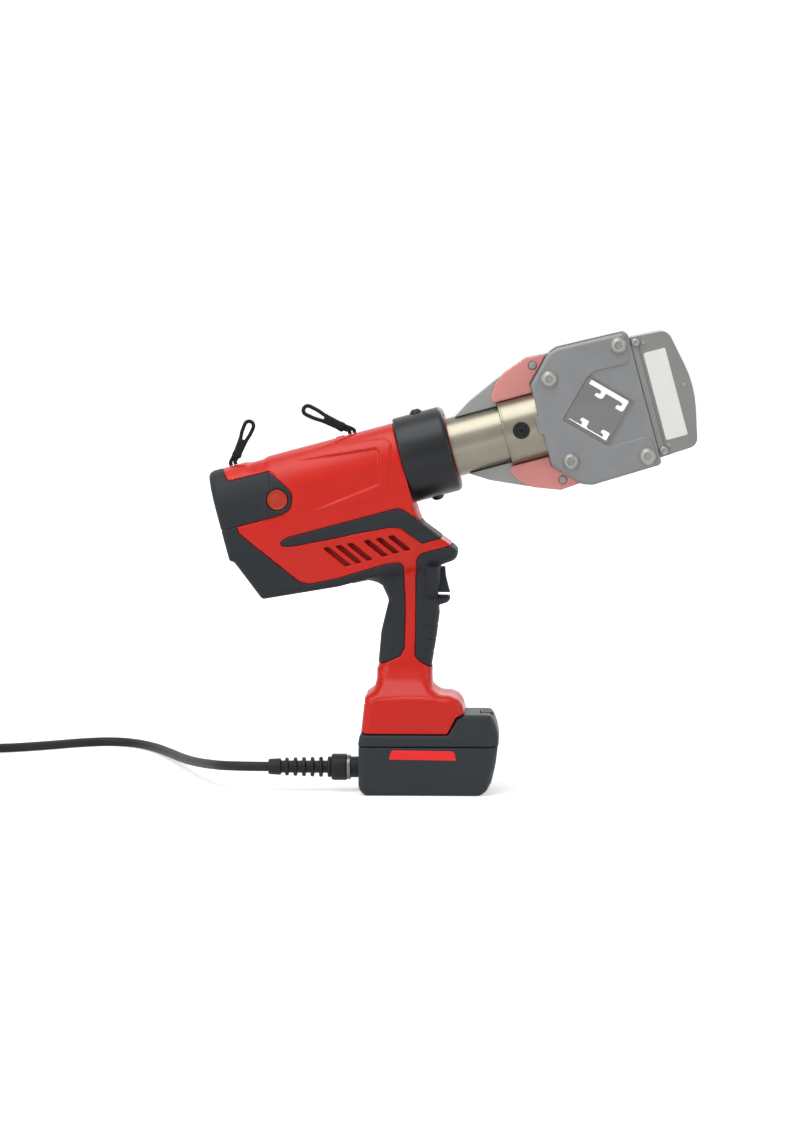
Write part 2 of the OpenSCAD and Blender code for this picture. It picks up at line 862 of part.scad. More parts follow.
module collar() {
    color(rubber) barrel() difference() {
        union() {
            rotate([0, 90, 0]) rotate_extrude()
                polygon([
                    [0, collar_p0], [collar_r - 1, collar_p0], [collar_r, collar_p0 + 1],
                    [collar_r, collar_p1 - collar_round],
                    [collar_r - 0.3 * collar_round, collar_p1 - 0.3 * collar_round],
                    [collar_r - collar_round, collar_p1], [0, collar_p1]
                ]);
            for (a = [0, 180])
                rotate([a, 0, 0]) translate([-2, 0, 0]) cylinder(r = nub_r, h = collar_r + 1.6);
        }
        rod_x(bush_r, collar_p0 - over, collar_p1 - 2);
        rod_x(tube_r + gap, collar_p0, collar_p1 + over);
    }
}

module swivel_bush() {
    color(bronze) barrel() ring_x(bush_r, tube_r + run_gap, collar_p0, collar_p1 - 2);
}

cyl_p0 = tube_p0 + 6;

module cylinder_tube() {
    color(nickel) barrel() difference() {
        union() {
            rod_x(tube_r, tube_p0, fork_start);
            rod_x(flange_r, flange_p, flange_p + 6);
            rod_x(spigot_r, tube_p0 - 8, tube_p0 + 1);
        }
        rod_x(cyl_r, cyl_p0, fork_start + over);
        rod_x(3, tube_p0 - 9, cyl_p0 + over);
    }
}

ear_gap = 11.5;
fork_floor = 4;
fork_slot_h = roller_q + roller_r + 2;

module fork_head() {
    color(nickel) barrel() difference() {
        rod_x(fork_r, fork_start, fork_end);
        rod_x(cyl_r, fork_start - over, fork_start + fork_floor + over);
        block([fork_start + fork_floor, -ear_gap, -fork_slot_h], [fork_end + over, ear_gap, fork_slot_h]);
        translate([pin_p, 0, 0]) rod_y(pin_r + run_gap, -far, far);
    }
}

roller_p = 38;
carrier_p0 = roller_p - 14;
guide_p0 = 4;
guide_len = 10;
piston_p0 = cyl_p0 + 6;
piston_len = 16;
seal_t = 3;
seal_depth = 2;

module rod_guide() {
    color(bronze) barrel() ring_x(cyl_r, rod_r + run_gap, guide_p0, guide_p0 + guide_len);
}

module ram() {
    color(steel) barrel() difference() {
        union() {
            rod_x(cyl_r - run_gap, piston_p0, piston_p0 + piston_len);
            rod_x(rod_r, piston_p0, carrier_p0);
        }
        ring_x(cyl_r + over, cyl_r - seal_depth, piston_p0 + 6, piston_p0 + 6 + seal_t);
    }
}

module piston_seal() {
    color(black) barrel() translate([piston_p0 + 6, 0, 0])
        ring_x(cyl_r - run_gap, cyl_r - seal_depth, 0, seal_t);
}

return_wire = 3;
return_turns = 6;

module return_spring() {
    r = (rod_r + cyl_r) / 2;
    end_gap = return_wire / 2 + gap;
    color(steel) barrel() tube(
        helix(r, piston_p0 + piston_len + end_gap, guide_p0 - end_gap, return_turns),
        return_wire / 2, 6, [1, 0, 0]
    );
}

roller_half_w = 7.5;
roller_pin_r = 3;
carrier_half_w = 11;
carrier_h = 17;

module roller_carrier() {
    color(steel) barrel() difference() {
        intersection() {
            block([carrier_p0, -carrier_half_w, -carrier_h], [roller_p + 4, carrier_half_w, carrier_h]);
            rod_x(cyl_r - 1, carrier_p0 - over, roller_p + 5);
        }
        block([roller_p - roller_r - 1, -roller_half_w - gap, -far], [far, roller_half_w + gap, far]);
        for (s = [-1, 1])
            translate([roller_p, 0, s * roller_q]) rod_y(roller_pin_r, -far, far);
    }
}

module roller_pins() {
    color(steel) barrel() for (s = [-1, 1])
        translate([roller_p, 0, s * roller_q]) rod_y(roller_pin_r, -carrier_half_w, carrier_half_w);
}

module roller(s) {
    color(steel) barrel() translate([roller_p, 0, s * roller_q]) difference() {
        rod_y(roller_r, -roller_half_w, roller_half_w);
        rod_y(roller_pin_r + run_gap, -far, far);
    }
}

module roller_upper() roller(1);
module roller_lower() roller(-1);

pin_knob_r = 10;

module jaw_pin() {
    color(black) barrel() translate([pin_p, 0, 0]) difference() {
        union() {
            rod_y(pin_r, -fork_r - 0.5, fork_r + 1);
            rod_y(pin_knob_r, fork_r + gap, fork_r + 6);
        }
        // Ringed recess in the near end
        difference() {
            rod_y(5.2, -fork_r - over, -fork_r + 1);
            rod_y(3.6, -fork_r - over, -fork_r + 1);
        }
        rod_y(2, -fork_r - over, -fork_r + 3);
    }
}

// Shear head, mirrored about the barrel axis

plate_in = fork_r + 0.6;
plate_out = plate_in + plate_t;
frame_half_w = plate_in;
frame_p0 = fork_end + gap;
bridge_p1 = frame_p0 + 8;
channel_h = 33.3;
frame_half_h = plate_half_h - 3;
tongue_half_h = 9;
push_q0 = tongue_half_h + 0.6;
push_q1 = 17;
push_half_w = 8;
tongue_half_w = ear_gap - gap;
// Bolts through the frame's bars, beside its channel and below its outer edge
bolt_places = [[121.5, channel_h + bolt_r + 0.5], [188.4, plate_half_h - 12.2]];
chamfer_q = 37;
chamfer_p = 22;
// Wall round the windows in the frame's bars
bar_wall = 6.35;

// Height of the cut rear corner at a place along the barrel
function chamfer_at(p) = chamfer_q + (plate_half_h - 3 - chamfer_q) * (p - plate_rear) / chamfer_p;

// Side plate outline, with its rear corners cut
plate_outline = [
    [plate_rear, -chamfer_q, 4], [plate_rear + chamfer_p, -plate_half_h + 3, 8],
    [plate_rear + chamfer_p + 9, -plate_half_h, 8],
    [plate_front, -plate_half_h + 2, 4], [plate_front, plate_half_h - 2, 4],
    [plate_rear + chamfer_p + 9, plate_half_h, 8], [plate_rear + chamfer_p, plate_half_h - 3, 8],
    [plate_rear, chamfer_q, 4]
];

module bolt_shafts(r, y0, y1) {
    for (b = bolt_places, s = [-1, 1])
        translate([b[0], 0, s * b[1]]) rod_y(r, y0, y1);
}

// Square prism standing on its corner, about the die centre
module die_square(half, y0, y1) {
    translate([die_p, 0, 0]) rotate([0, 45, 0]) block([-half, y0, -half], [half, y1, half]);
}

module head_frame() {
    color(plate_grey) barrel() difference() {
        union() {
            difference() {
                intersection() {
                    block([frame_p0, -frame_half_w, -frame_half_h],
                          [plate_front, frame_half_w, frame_half_h]);
                    side_prism(rounded(plate_outline), -far, far);
                }
                block([bridge_p1, -far, -channel_h], [far, far, channel_h]);
                // Lightening windows in the two bars
                window = (frame_half_h - channel_h) / 2 - bar_wall;
                for (s = [-1, 1])
                    translate([0, 0, s * (channel_h + frame_half_h) / 2])
                        block([136, -far, -window], [178, far, window]);
            }
            block([fork_start + fork_floor + 1, -tongue_half_w, -tongue_half_h],
                  [bridge_p1, tongue_half_w, tongue_half_h]);
        }
        for (s = [-1, 1])
            translate([0, 0, s * (push_q0 + push_q1) / 2]) {
                h = (push_q1 - push_q0) / 2 + gap;
                block([frame_p0 - over, -push_half_w - gap, -h], [bridge_p1 + over, push_half_w + gap, h]);
            }
        translate([pin_p, 0, 0]) rod_y(pin_r + run_gap, -far, far);
        bolt_shafts(bolt_r, -far, far);
    }
}

tab_half_h = 8.5;
tab_reach = 3.5;

module head_plate(y0, y1) {
    barrel() difference() {
        union() {
            side_prism(rounded(plate_outline), y0, y1);
            block([plate_rear - tab_reach, y0, -tab_half_h], [plate_rear + 7, y1, tab_half_h]);
        }
        bolt_shafts(bolt_r, -far, far);
        children();
    }
}

module head_plate_right() {
    color(plate_grey) head_plate(-plate_out, -plate_in) die_square(die_half, -far, far);
}

module head_plate_left() {
    color(plate_grey) head_plate(plate_in, plate_out) die_square(die_half + 2, -far, far);
}

bolt_head_h = 4;

module head_bolts() {
    color(steel) barrel() difference() {
        union() {
            bolt_shafts(bolt_r, -plate_out, plate_out);
            bolt_shafts(bolt_head_r, -plate_out - bolt_head_h, -plate_out);
        }
        bolt_shafts(3, -plate_out - bolt_head_h - over, -plate_out - 1);
    }
}

brace_half_w = 9;
cover_t = 3;
brace_outline = [
    [32, tube_r + gap], [fork_start - gap, tube_r + gap], [fork_start - gap, fork_r + gap],
    [frame_p0, fork_r + gap], [frame_p0, chamfer_at(frame_p0) + 0.2],
    [125.5, chamfer_at(125.5) + 0.5], [106, plate_half_h - 1.6], [75, 49], [47, 36.5]
];
cover_outline = [
    [66.5, fork_r + 3], [70, fork_r + 0.5], [plate_rear - gap, fork_r + 0.5],
    [plate_rear - gap, chamfer_q + 1], [125, chamfer_at(125) + 1], [105.5, plate_half_h - 2],
    [82.5, 52.5], [73, 44.5]
];
cover_pin_p = plate_rear + 6.3;
cover_pin = [cover_pin_p, (chamfer_at(cover_pin_p) + plate_half_h - 1) / 2];
cover_pin_r = 3.6;

module tail_braces() {
    color(plate_grey) barrel() for (s = [0, 1])
        mirror([0, 0, s]) {
            side_prism(brace_outline, -brace_half_w, brace_half_w);
            translate([cover_pin[0], 0, cover_pin[1]])
                rod_y(cover_pin_r, -brace_half_w - cover_t - 1, brace_half_w + cover_t + 1);
        }
}

module jaw_covers() {
    color(dusty_red) barrel() for (s = [0, 1], y = [-brace_half_w - cover_t, brace_half_w])
        mirror([0, 0, s]) difference() {
            side_prism(cover_outline, y, y + cover_t);
            translate([cover_pin[0], 0, cover_pin[1]]) rod_y(cover_pin_r, -far, far);
        }
}

// Rail-shaped slots: a web with two hooks turned inwards

die_y0 = -plate_out + 0.6;
die_y1 = -22;
blade_y1 = -8;
web_len = 40;
web_end = 19.5;
hook_gap = 22.4;
hook_w = 4.5;
hook_reach = 4.6;

module rail_slot(web_t, depth) {
    block([web_end - web_len, -far, slot_off - web_t], [web_end, far, slot_off]);
    for (x = [web_end, web_end - hook_gap]) {
        block([x - hook_w, -far, slot_off - depth], [x, far, slot_off]);
        block([x - hook_w - hook_reach, -far, slot_off - depth], [x, far, slot_off - depth + hook_w]);
    }
}

// The wide rail's slot above, the thin rail's slot mirrored below
module rail_slots() {
    translate([die_p, 0, 0]) rotate([0, 45, 0]) {
        rail_slot(4.6, 11);
        mirror([0, 0, 1]) rail_slot(2, 9.4);
    }
}

module fixed_die() {
    color(plate_grey) barrel() difference() {
        die_square(die_half, die_y0, die_y1);
        rail_slots();
    }
}

module moving_blade() {
    color(steel) barrel() difference() {
        die_square(die_half, die_y1 + gap, blade_y1);
        rail_slots();
    }
}

slide_p1 = die_p + 1.42 * die_half + 5;
slide_y1 = 2;
roller_face_p = roller_p + roller_r + gap;

module blade_carrier() {
    color(steel) barrel() difference() {
        union() {
            block([bridge_p1 + gap, die_y1 + gap, -channel_h + gap], [slide_p1, slide_y1, channel_h - gap]);
            for (s = [-1, 1])
                translate([0, 0, s * (push_q0 + push_q1) / 2]) {
                    h = (push_q1 - push_q0) / 2;
                    block([roller_face_p, -push_half_w, -h], [bridge_p1 + 1, push_half_w, h]);
                }
        }
        die_square(die_half, -far, far);
    }
}

nose_outline = [
    [plate_front, -nose_half_h, 0], [nose_front - 11, -nose_half_h + 2, 9], [nose_front, 0, 100],
    [nose_front - 11, nose_half_h - 2, 9], [plate_front, nose_half_h, 0]
];
nose_half_w = frame_half_w + 1;

module nose_guard() {
    inner = [
        [plate_front - over, -nose_half_h + nose_wall, 0],
        [nose_front - 11 - nose_wall, -nose_half_h + nose_wall + 2, 6],
        [nose_front - nose_wall, 0, 100],
        [nose_front - 11 - nose_wall, nose_half_h - nose_wall - 2, 6],
        [plate_front - over, nose_half_h - nose_wall, 0]
    ];
    color(plate_grey) barrel() difference() {
        side_prism(rounded(nose_outline), -nose_half_w, nose_half_w);
        side_prism(rounded(inner), -nose_half_w + nose_wall, nose_half_w - nose_wall);
    }
}

// Mains adapter

adapter_x0 = -adapter_len / 2;
adapter_x1 = adapter_len / 2;
parting_z = adapter_h - cover_h;
shell_t = 2.5;
// Neck of the cord connector, seated in the rear wall
neck_r = 9.5;
base_outline = [
    [adapter_x0 + 8, 0, 3], [adapter_x1 - 12, 0, 4], [adapter_x1 - 5, 14, 12], [adapter_x1, parting_z, 0],
    [adapter_x0, parting_z, 0], [adapter_x0 + 1, 8, 6]
];
cover_top = [
    [adapter_x0, parting_z, 0], [adapter_x1, parting_z, 0], [adapter_x1, adapter_h, 5],
    [adapter_x1 - 5, step_z - 2, 4], [adapter_x1 - 9, step_z, 3], [31.6, step_z, 2], [27.6, 67.7, 2],
    [17.5, adapter_h, 0], [adapter_x0 + 3, adapter_h, 3]
];

module adapter_base() {
    color(rubber) difference() {
        intersection() {
            side_prism(rounded(base_outline), -far, far);
            plan_prism(adapter_x0, adapter_x1, adapter_half_w, 11, 0, parting_z);
        }
        intersection() {
            side_prism(rounded(inset(base_outline, shell_t)), -far, far);
            plan_prism(adapter_x0 + shell_t, adapter_x1 - shell_t, adapter_half_w - shell_t, 9,
                       0, parting_z);
        }
        block([adapter_x0 + 12, -adapter_half_w + 8, parting_z - shell_t - over],
              [adapter_x1 - 12, adapter_half_w - 8, parting_z + over]);
        translate([0, 0, cord_z]) rod_x(neck_r, adapter_x0 - over, adapter_x0 + 10);
    }
}

// Cross-section that narrows the front step
step_section = [
    [-adapter_half_w, 0], [adapter_half_w, 0], [adapter_half_w, adapter_h],
    [adapter_half_w - 4, step_z + 1], [4 - adapter_half_w, step_z + 1], [-adapter_half_w, adapter_h]
];

latch_half_w = 14;
latch_x0 = adapter_x1 - 17;
latch_x1 = adapter_x1 - 7;
latch_h = 12;
latch_rise = 1.5;

module adapter_cover() {
    color(rubber) difference() {
        union() {
            intersection() {
                side_prism(rounded(cover_top), -far, far);
                plan_prism(adapter_x0, adapter_x1, adapter_half_w, 11, 0, 100);
                end_prism(step_section, -far, far);
            }
            block([rail_x0, -rail_half_w, adapter_h - 1], [rail_x1, rail_half_w, adapter_h + rail_h]);
        }
        // Hollow of the front step
        block([22, -adapter_half_w + 7, parting_z - over], [latch_x0 - 2, adapter_half_w - 7, step_z - 3]);
        // Pocket of the latch
        block([latch_x0 - gap, -latch_half_w - gap, step_z - latch_h - latch_travel],
              [latch_x1 + gap, latch_half_w + gap, step_z + over]);
    }
}

module latch_button() {
    top = step_z + latch_rise;
    color(black) difference() {
        block([latch_x0, -latch_half_w, step_z - latch_h + 0.2], [latch_x1, latch_half_w, top]);
        for (x = [latch_x0 + 2 : 2.5 : latch_x1 - 1])
            block([x, -far, top - 1], [x + 1, far, top + over]);
    }
}

module power_board() {
    color([0.16, 0.36, 0.22]) union() {
        block([adapter_x0 + 14, -26, shell_t], [adapter_x1 - 18, 26, shell_t + 3]);
        block([-44, -20, shell_t + 2], [-6, 18, parting_z - 10]);
        translate([12, 10, shell_t + 2]) cylinder(r = 8, h = parting_z - 14);
        translate([12, -12, shell_t + 2]) cylinder(r = 8, h = parting_z - 14);
        block([26, -22, shell_t + 2], [42, 22, parting_z - 14]);
    }
}

// Cord connector, strain relief and cord

connector_x0 = adapter_x0 - 24;
cord_r = cord_d / 2;
rib_r = 9.4;
rib_count = 6;
rib_pitch = 7.7;
rib_len = 3.5;
// Plain end of the strain relief, before its first rib
rib_start = 15;
relief_x0 = connector_x0 - rib_start - (rib_count - 1) * rib_pitch - rib_len;

module cord_connector() {
    color(black) translate([0, 0, cord_z]) {
        rod_x(neck_r, adapter_x0 - 6, adapter_x0 + 6);
        rod_x(11, adapter_x0 - 10, adapter_x0 - 6);
        rod_x(12, connector_x0, adapter_x0 - 10);
    }
}

module strain_relief() {
    rib_x0 = relief_x0 + rib_start;
    color(black) translate([0, 0, cord_z]) {
        rod_x(cord_r + 1, relief_x0, connector_x0);
        rod_x(cord_r + 3.2, relief_x0, relief_x0 + 12);
        for (k = [0 : rib_count - 1])
            translate([rib_x0 + k * rib_pitch, 0, 0])
                rod_x(rib_r - 0.25 * (rib_count - 1 - k), 0, rib_len);
    }
}

// Floor clearance of the coil, for the tie under it
coil_lift = 1.6;
coil_x = -492;
coil_y = 218;

// Place of the plug at the cord's end
plug_x = -568;
plug_y1 = 190;
plug_len = 44;
plug_z = 15;

lead_route = [
    [relief_x0, 0, cord_z], [relief_x0 - cord_d, 0, cord_z], [-172, 2, 22], [-188, 15, 21], [-200, 40, 19],
    [-212, 76, 16], [-226, 126, 12.2], [-241, 186, 8.4], [-257, 246, 5.8], [-276, 300, 4.6],
    [-298, 336, cord_r], [-324, 350, cord_r], [-352, 340, cord_r], [-382, 316, cord_r], [-414, 294, 4.5],
    [-448, 280, 5], [-474, 276.4, 5.8], [coil_x + cord_d, coil_y + coil_r, cord_r + coil_lift],
    [coil_x, coil_y + coil_r, cord_r + coil_lift]
];

coil_top = cord_r + coil_lift + (coil_layers - 1) * coil_pitch;
tail_route = [
    [coil_x, coil_y + coil_r, coil_top], [coil_x - cord_d, coil_y + coil_r, coil_top],
    [-520, 274, 33], [-540, 265, 29], [-556, 250, 23.5], [-565, 230, 18], [plug_x, 208, plug_z + 0.2],
    [plug_x, 200, plug_z], [plug_x, plug_y1, plug_z]
];

// Coil point after a number of turns: steady spiral in and out, a climb at each reversal
function wave(t, n) = let (m = t % (2 * n)) m <= n ? m : 2 * n - m;
function climb(t, n) = let (k = floor(t / n + 0.5), d = t - k * n)
    k < 1 || k >= coil_layers ? floor(t / n) : (k - 0.5) + max(min(2 * d, 0.5), -0.5);
function coil_point(t) =
    let (
        r = coil_r - coil_pitch * wave(t, layer_turns),
        a = 90 + 360 * t,
        layer = min(climb(t, layer_turns), coil_layers - 1)
    )
    [coil_x + r * cos(a), coil_y + r * sin(a), cord_r + coil_lift + coil_pitch * layer];

loop_rings = 24;
coil_turns = layer_turns * coil_layers;
coil_route = [for (k = [0 : coil_turns * loop_rings]) coil_point(k / loop_rings)];
echo(coil_gap = self_distance(coil_route, loop_rings / 2) - cord_d);

module cord_lead() {
    color(rubber) {
        tube(lead_route, cord_r, 10, [0, 0, 1]);
        tube(tail_route, cord_r, 10, [0, 0, 1]);
    }
}

module cord_coil() color(rubber) tube(coil_route, cord_r, 6, [0, 0, 1]);

tie_w = 9;
tie_t = 1.2;

module coil_tie() {
    x0 = coil_x + coil_r - layer_turns * coil_pitch - cord_r - gap;
    x1 = coil_x + coil_r + cord_r + gap;
    z1 = coil_top + cord_r + gap;
    color(black) difference() {
        block([x0 - tie_t, coil_y - tie_w / 2, 0], [x1 + tie_t, coil_y + tie_w / 2, z1 + tie_t]);
        block([x0, coil_y - tie_w, tie_t], [x1, coil_y + tie_w, z1]);
    }
}

module mains_plug() {
    prong_len = 19;
    face_y = plug_y1 - plug_len;
    color(black) translate([plug_x, 0, plug_z]) {
        rod_y(7.5, plug_y1 - 14, plug_y1);
        translate([0, plug_y1 - 12, 0]) rotate([90, 0, 0]) cylinder(r1 = 9, r2 = 14.5, h = 14);
        rod_y(14.5, face_y, plug_y1 - 25);
        for (s = [-1, 1])
            translate([s * prong_gap / 2, 0, 0]) rod_y(prong_r, face_y - prong_len, face_y + over);
    }
}

housing_right();
housing_left();
rear_cover();
rear_grip_right();
rear_grip_left();
front_grip_right();
front_grip_left();
side_inlays();
housing_screws();
strap_loop_rear();
strap_loop_front();
trigger();
trigger_spring();
trigger_switch();
release_button();
release_valve();
motor_can();
motor_rotor();
cooling_fan();
shaft_bearings();
drive_gear();
eccentric_shaft();
pump_block();
pump_plunger();
oil_reservoir();
wire_harness();
terminal_block();
collar();
swivel_bush();
cylinder_tube();
fork_head();
rod_guide();
return_spring();
ram();
piston_seal();
roller_carrier();
roller_pins();
roller_upper();
roller_lower();
jaw_pin();
head_frame();
head_plate_right();
head_plate_left();
head_bolts();
jaw_covers();
tail_braces();
fixed_die();
moving_blade();
blade_carrier();
nose_guard();
adapter_base();
adapter_cover();
latch_button();
power_board();
cord_connector();
strain_relief();
cord_lead();
cord_coil();
coil_tie();
mains_plug();
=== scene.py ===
"""Studio scene of a hydraulic press tool with a rail-shear head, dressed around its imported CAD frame.

Lengths are in millimetres, in the tool's frame: +X forward, +Z up, +Y to the tool's left side.
Meshes are scaled to metres when they are made. Barrel coordinates (p, q) run along the tilted
barrel axis and square to it.
"""
import logging
import math
from dataclasses import dataclass, field, replace
from enum import Enum
from typing import Callable, Optional, Sequence

import bmesh
import bpy
import numpy as np
from mathutils import Matrix, Vector
from mathutils.geometry import tessellate_polygon


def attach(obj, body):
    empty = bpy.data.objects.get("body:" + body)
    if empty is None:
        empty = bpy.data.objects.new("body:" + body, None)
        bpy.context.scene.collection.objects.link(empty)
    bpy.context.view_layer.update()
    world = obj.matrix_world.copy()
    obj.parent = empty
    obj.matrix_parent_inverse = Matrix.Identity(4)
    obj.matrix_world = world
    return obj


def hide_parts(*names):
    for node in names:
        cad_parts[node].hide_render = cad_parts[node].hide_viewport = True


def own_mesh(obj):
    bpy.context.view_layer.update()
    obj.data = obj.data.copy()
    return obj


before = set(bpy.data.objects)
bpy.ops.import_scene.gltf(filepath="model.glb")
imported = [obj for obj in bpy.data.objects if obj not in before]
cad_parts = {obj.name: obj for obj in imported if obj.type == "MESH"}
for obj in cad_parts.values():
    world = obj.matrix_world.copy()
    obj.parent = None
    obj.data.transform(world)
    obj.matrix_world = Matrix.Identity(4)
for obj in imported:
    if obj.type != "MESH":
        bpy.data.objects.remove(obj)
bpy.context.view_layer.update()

MM = 0.001
TILT = math.radians(15)
AXIS_Z = 305.0
BARREL_FRAME = Matrix.Translation((0, 0, AXIS_Z * MM)) @ Matrix.Rotation(-TILT, 4, "Y")
BUTTON = (-140.0, -3.5)
SHARP_EDGE = 35.0
BEVEL_SAMPLES = 4
COAT_ROUGHNESS = 0.2
ROUGHNESS_SPREAD = 0.1
BUMP_STRENGTH = 0.6
LOG = logging.getLogger("press_tool")

Array = np.ndarray
Mesh = bpy.types.Mesh
Node = bpy.types.Node
Tree = bpy.types.NodeTree
Socket = bpy.types.NodeSocket
Colour = tuple[float, float, float]
Point = tuple[float, float, float]
Sizes = tuple[float, ...]
Corner = tuple[float, ...]
Outline = tuple[Corner, ...]
Pair = tuple[float, float]
Box = tuple[Point, Point]
Place = Callable[[float, float, float], Point]


class Body(Enum):
    """CAD bodies that pieces ride on."""

    BODY = "body"
    BARREL = "barrel"
    BLADE = "blade"
    RELEASE = "release_button"
    ADAPTER = "adapter"


class Side(Enum):
    """Halves of the tool about its middle plane."""

    RIGHT = -1
    LEFT = 1

    @property
    def label(self) -> str:
        """Name of the half as the CAD nodes have it."""
        return self.name.lower()


def barrel_point(p: float, q: float, y: float = 0.0) -> Point:
    """Turn places along, above and left of the barrel axis into a point of the tool's frame."""
    c, s = math.cos(TILT), math.sin(TILT)
    return (p * c - q * s, y, AXIS_Z + p * s + q * c)


def about_barrel(p: float, y: float, q: float) -> Point:
    """Place a point along the barrel axis, to its left and above it."""
    return barrel_point(p, q, y)


def rounded(corners: Sequence[Corner], steps: int = 6) -> Array:
    """Round the corners of a closed outline.

    Args:
        corners: Corners as (u, v, radius), anticlockwise.
        steps: Segments in each rounded corner.

    Returns:
        The outline's points, one row each.
    """
    pts = np.array([c[:2] for c in corners], float)
    out: list[Array] = []
    for i, corner in enumerate(corners):
        b = pts[i]
        u = b - pts[i - 1]
        v = pts[(i + 1) % len(pts)] - b
        u, v = u / np.linalg.norm(u), v / np.linalg.norm(v)
        turn = math.atan2(u[0] * v[1] - u[1] * v[0], float(u @ v))
        radius = corner[2] if len(corner) > 2 else 0.0
        if radius == 0 or abs(turn) < 1e-3:
            out.append(b)
            continue
        start = b - u * radius * math.tan(abs(turn) / 2)
        centre = start + np.array([-u[1], u[0]]) * radius * math.copysign(1, turn)
        d = start - centre
        for k in range(steps + 1):
            a = turn * k / steps
            out.append(centre + [d[0] * math.cos(a) - d[1] * math.sin(a),
                                 d[0] * math.sin(a) + d[1] * math.cos(a)])
    return np.array(out)


def stretch_gap(u: Array, v: Array, a: Sequence[float], b: Sequence[float]) -> Array:
    """Measure the squared distance of plane points from a straight stretch.

    Args:
        u: First coordinates of the points.
        v: Second coordinates of the points.
        a: Start of the stretch.
        b: Its end.

    Returns:
        Squared distances.
    """
    eu, ev = b[0] - a[0], b[1] - a[1]
    wu, wv = u - a[0], v - a[1]
    t = np.clip((wu * eu + wv * ev) / max(eu * eu + ev * ev, 1e-9), 0, 1)
    return (wu - eu * t) ** 2 + (wv - ev * t) ** 2


def outline_distance(u: Array, v: Array, outline: Array) -> Array:
    """Measure how far plane points lie outside a closed outline.

    Args:
        u: First coordinates of the points.
        v: Second coordinates of the points.
        outline: The outline's points, one row each.

    Returns:
        Distances, negative inside.
    """
    shape = np.broadcast(u, v).shape
    best = np.full(shape, np.inf, np.float32)
    inside = np.zeros(shape, bool)
    for a, b in zip(outline, np.roll(outline, -1, axis=0)):
        best = np.minimum(best, stretch_gap(u, v, a, b))
        rise = b[1] - a[1] if abs(b[1] - a[1]) > 1e-9 else 1e-9
        inside ^= ((a[1] <= v) != (b[1] <= v)) & (u - a[0] < (b[0] - a[0]) * (v - a[1]) / rise)
    d = np.sqrt(best)
    return np.where(inside, -d, d).astype(np.float32)


def path_distance(u: Array, v: Array, path: Sequence[Corner]) -> Array:
    """Measure how far plane points lie from an open path.

    Args:
        u: First coordinates of the points.
        v: Second coordinates of the points.
        path: Points of the path.

    Returns:
        Distances, never negative.
    """
    best = np.full(np.broadcast(u, v).shape, np.inf, np.float32)
    for a, b in zip(path, path[1:]):
        best = np.minimum(best, stretch_gap(u, v, a, b))
    return np.sqrt(best)


def meet(a: Array, b: Array, radius: float) -> Array:
    """Intersect two distance fields with a rounded edge of that radius."""
    core = np.minimum(np.maximum(a, b), -radius)
    return core + np.hypot(np.maximum(a + radius, 0), np.maximum(b + radius, 0))


def join(a: Array, b: Array, radius: float) -> Array:
    """Unite two distance fields with a hollow fillet of that radius."""
    core = np.maximum(np.minimum(a, b), radius)
    return core - np.hypot(np.maximum(radius - a, 0), np.maximum(radius - b, 0))


def cut(a: Array, b: Array) -> Array:
    """Take one distance field away from another."""
    return np.maximum(a, -b)


def slab(values: Array, low: float, high: float) -> Array:
    """Measure how far values lie outside a range."""
    return np.maximum(low - values, values - high)


def ramp(values: Array, start: float, run: float) -> Array:
    """Rise from 0 at a start to 1 at the end of a run."""
    return np.clip((values - start) / run, 0, 1)


def ease(d: Array, width: float) -> Array:
    """Fade from 1 inside a field to 0 outside it, over a width."""
    t = np.clip(0.5 - d / width, 0, 1)
    return t * t * (3 - 2 * t)


@dataclass(frozen=True)
class Profile:
    """Half width that changes softly along a direction.

    Attributes:
        places: Places with a known half width, rising.
        widths: Half widths there.
        blur: Length over which corners of the profile are softened.
        pitch: Spacing at which the profile is worked out.
    """

    places: Sizes
    widths: Sizes
    blur: float
    pitch: float = 0.5

    def at(self, where: Array) -> Array:
        """Look up the half width.

        Args:
            where: Places along the direction.

        Returns:
            Half widths, shaped as the places.
        """
        reach = 2 * self.blur
        fine = np.arange(self.places[0] - reach, self.places[-1] + reach, self.pitch)
        values = np.interp(fine, self.places, self.widths)
        count = max(int(self.blur / self.pitch), 1)
        padded = np.pad(values, count, mode="edge")
        soft = np.convolve(padded, np.ones(count) / count, mode="same")[count:-count]
        return np.interp(where, fine, soft).astype(np.float32)


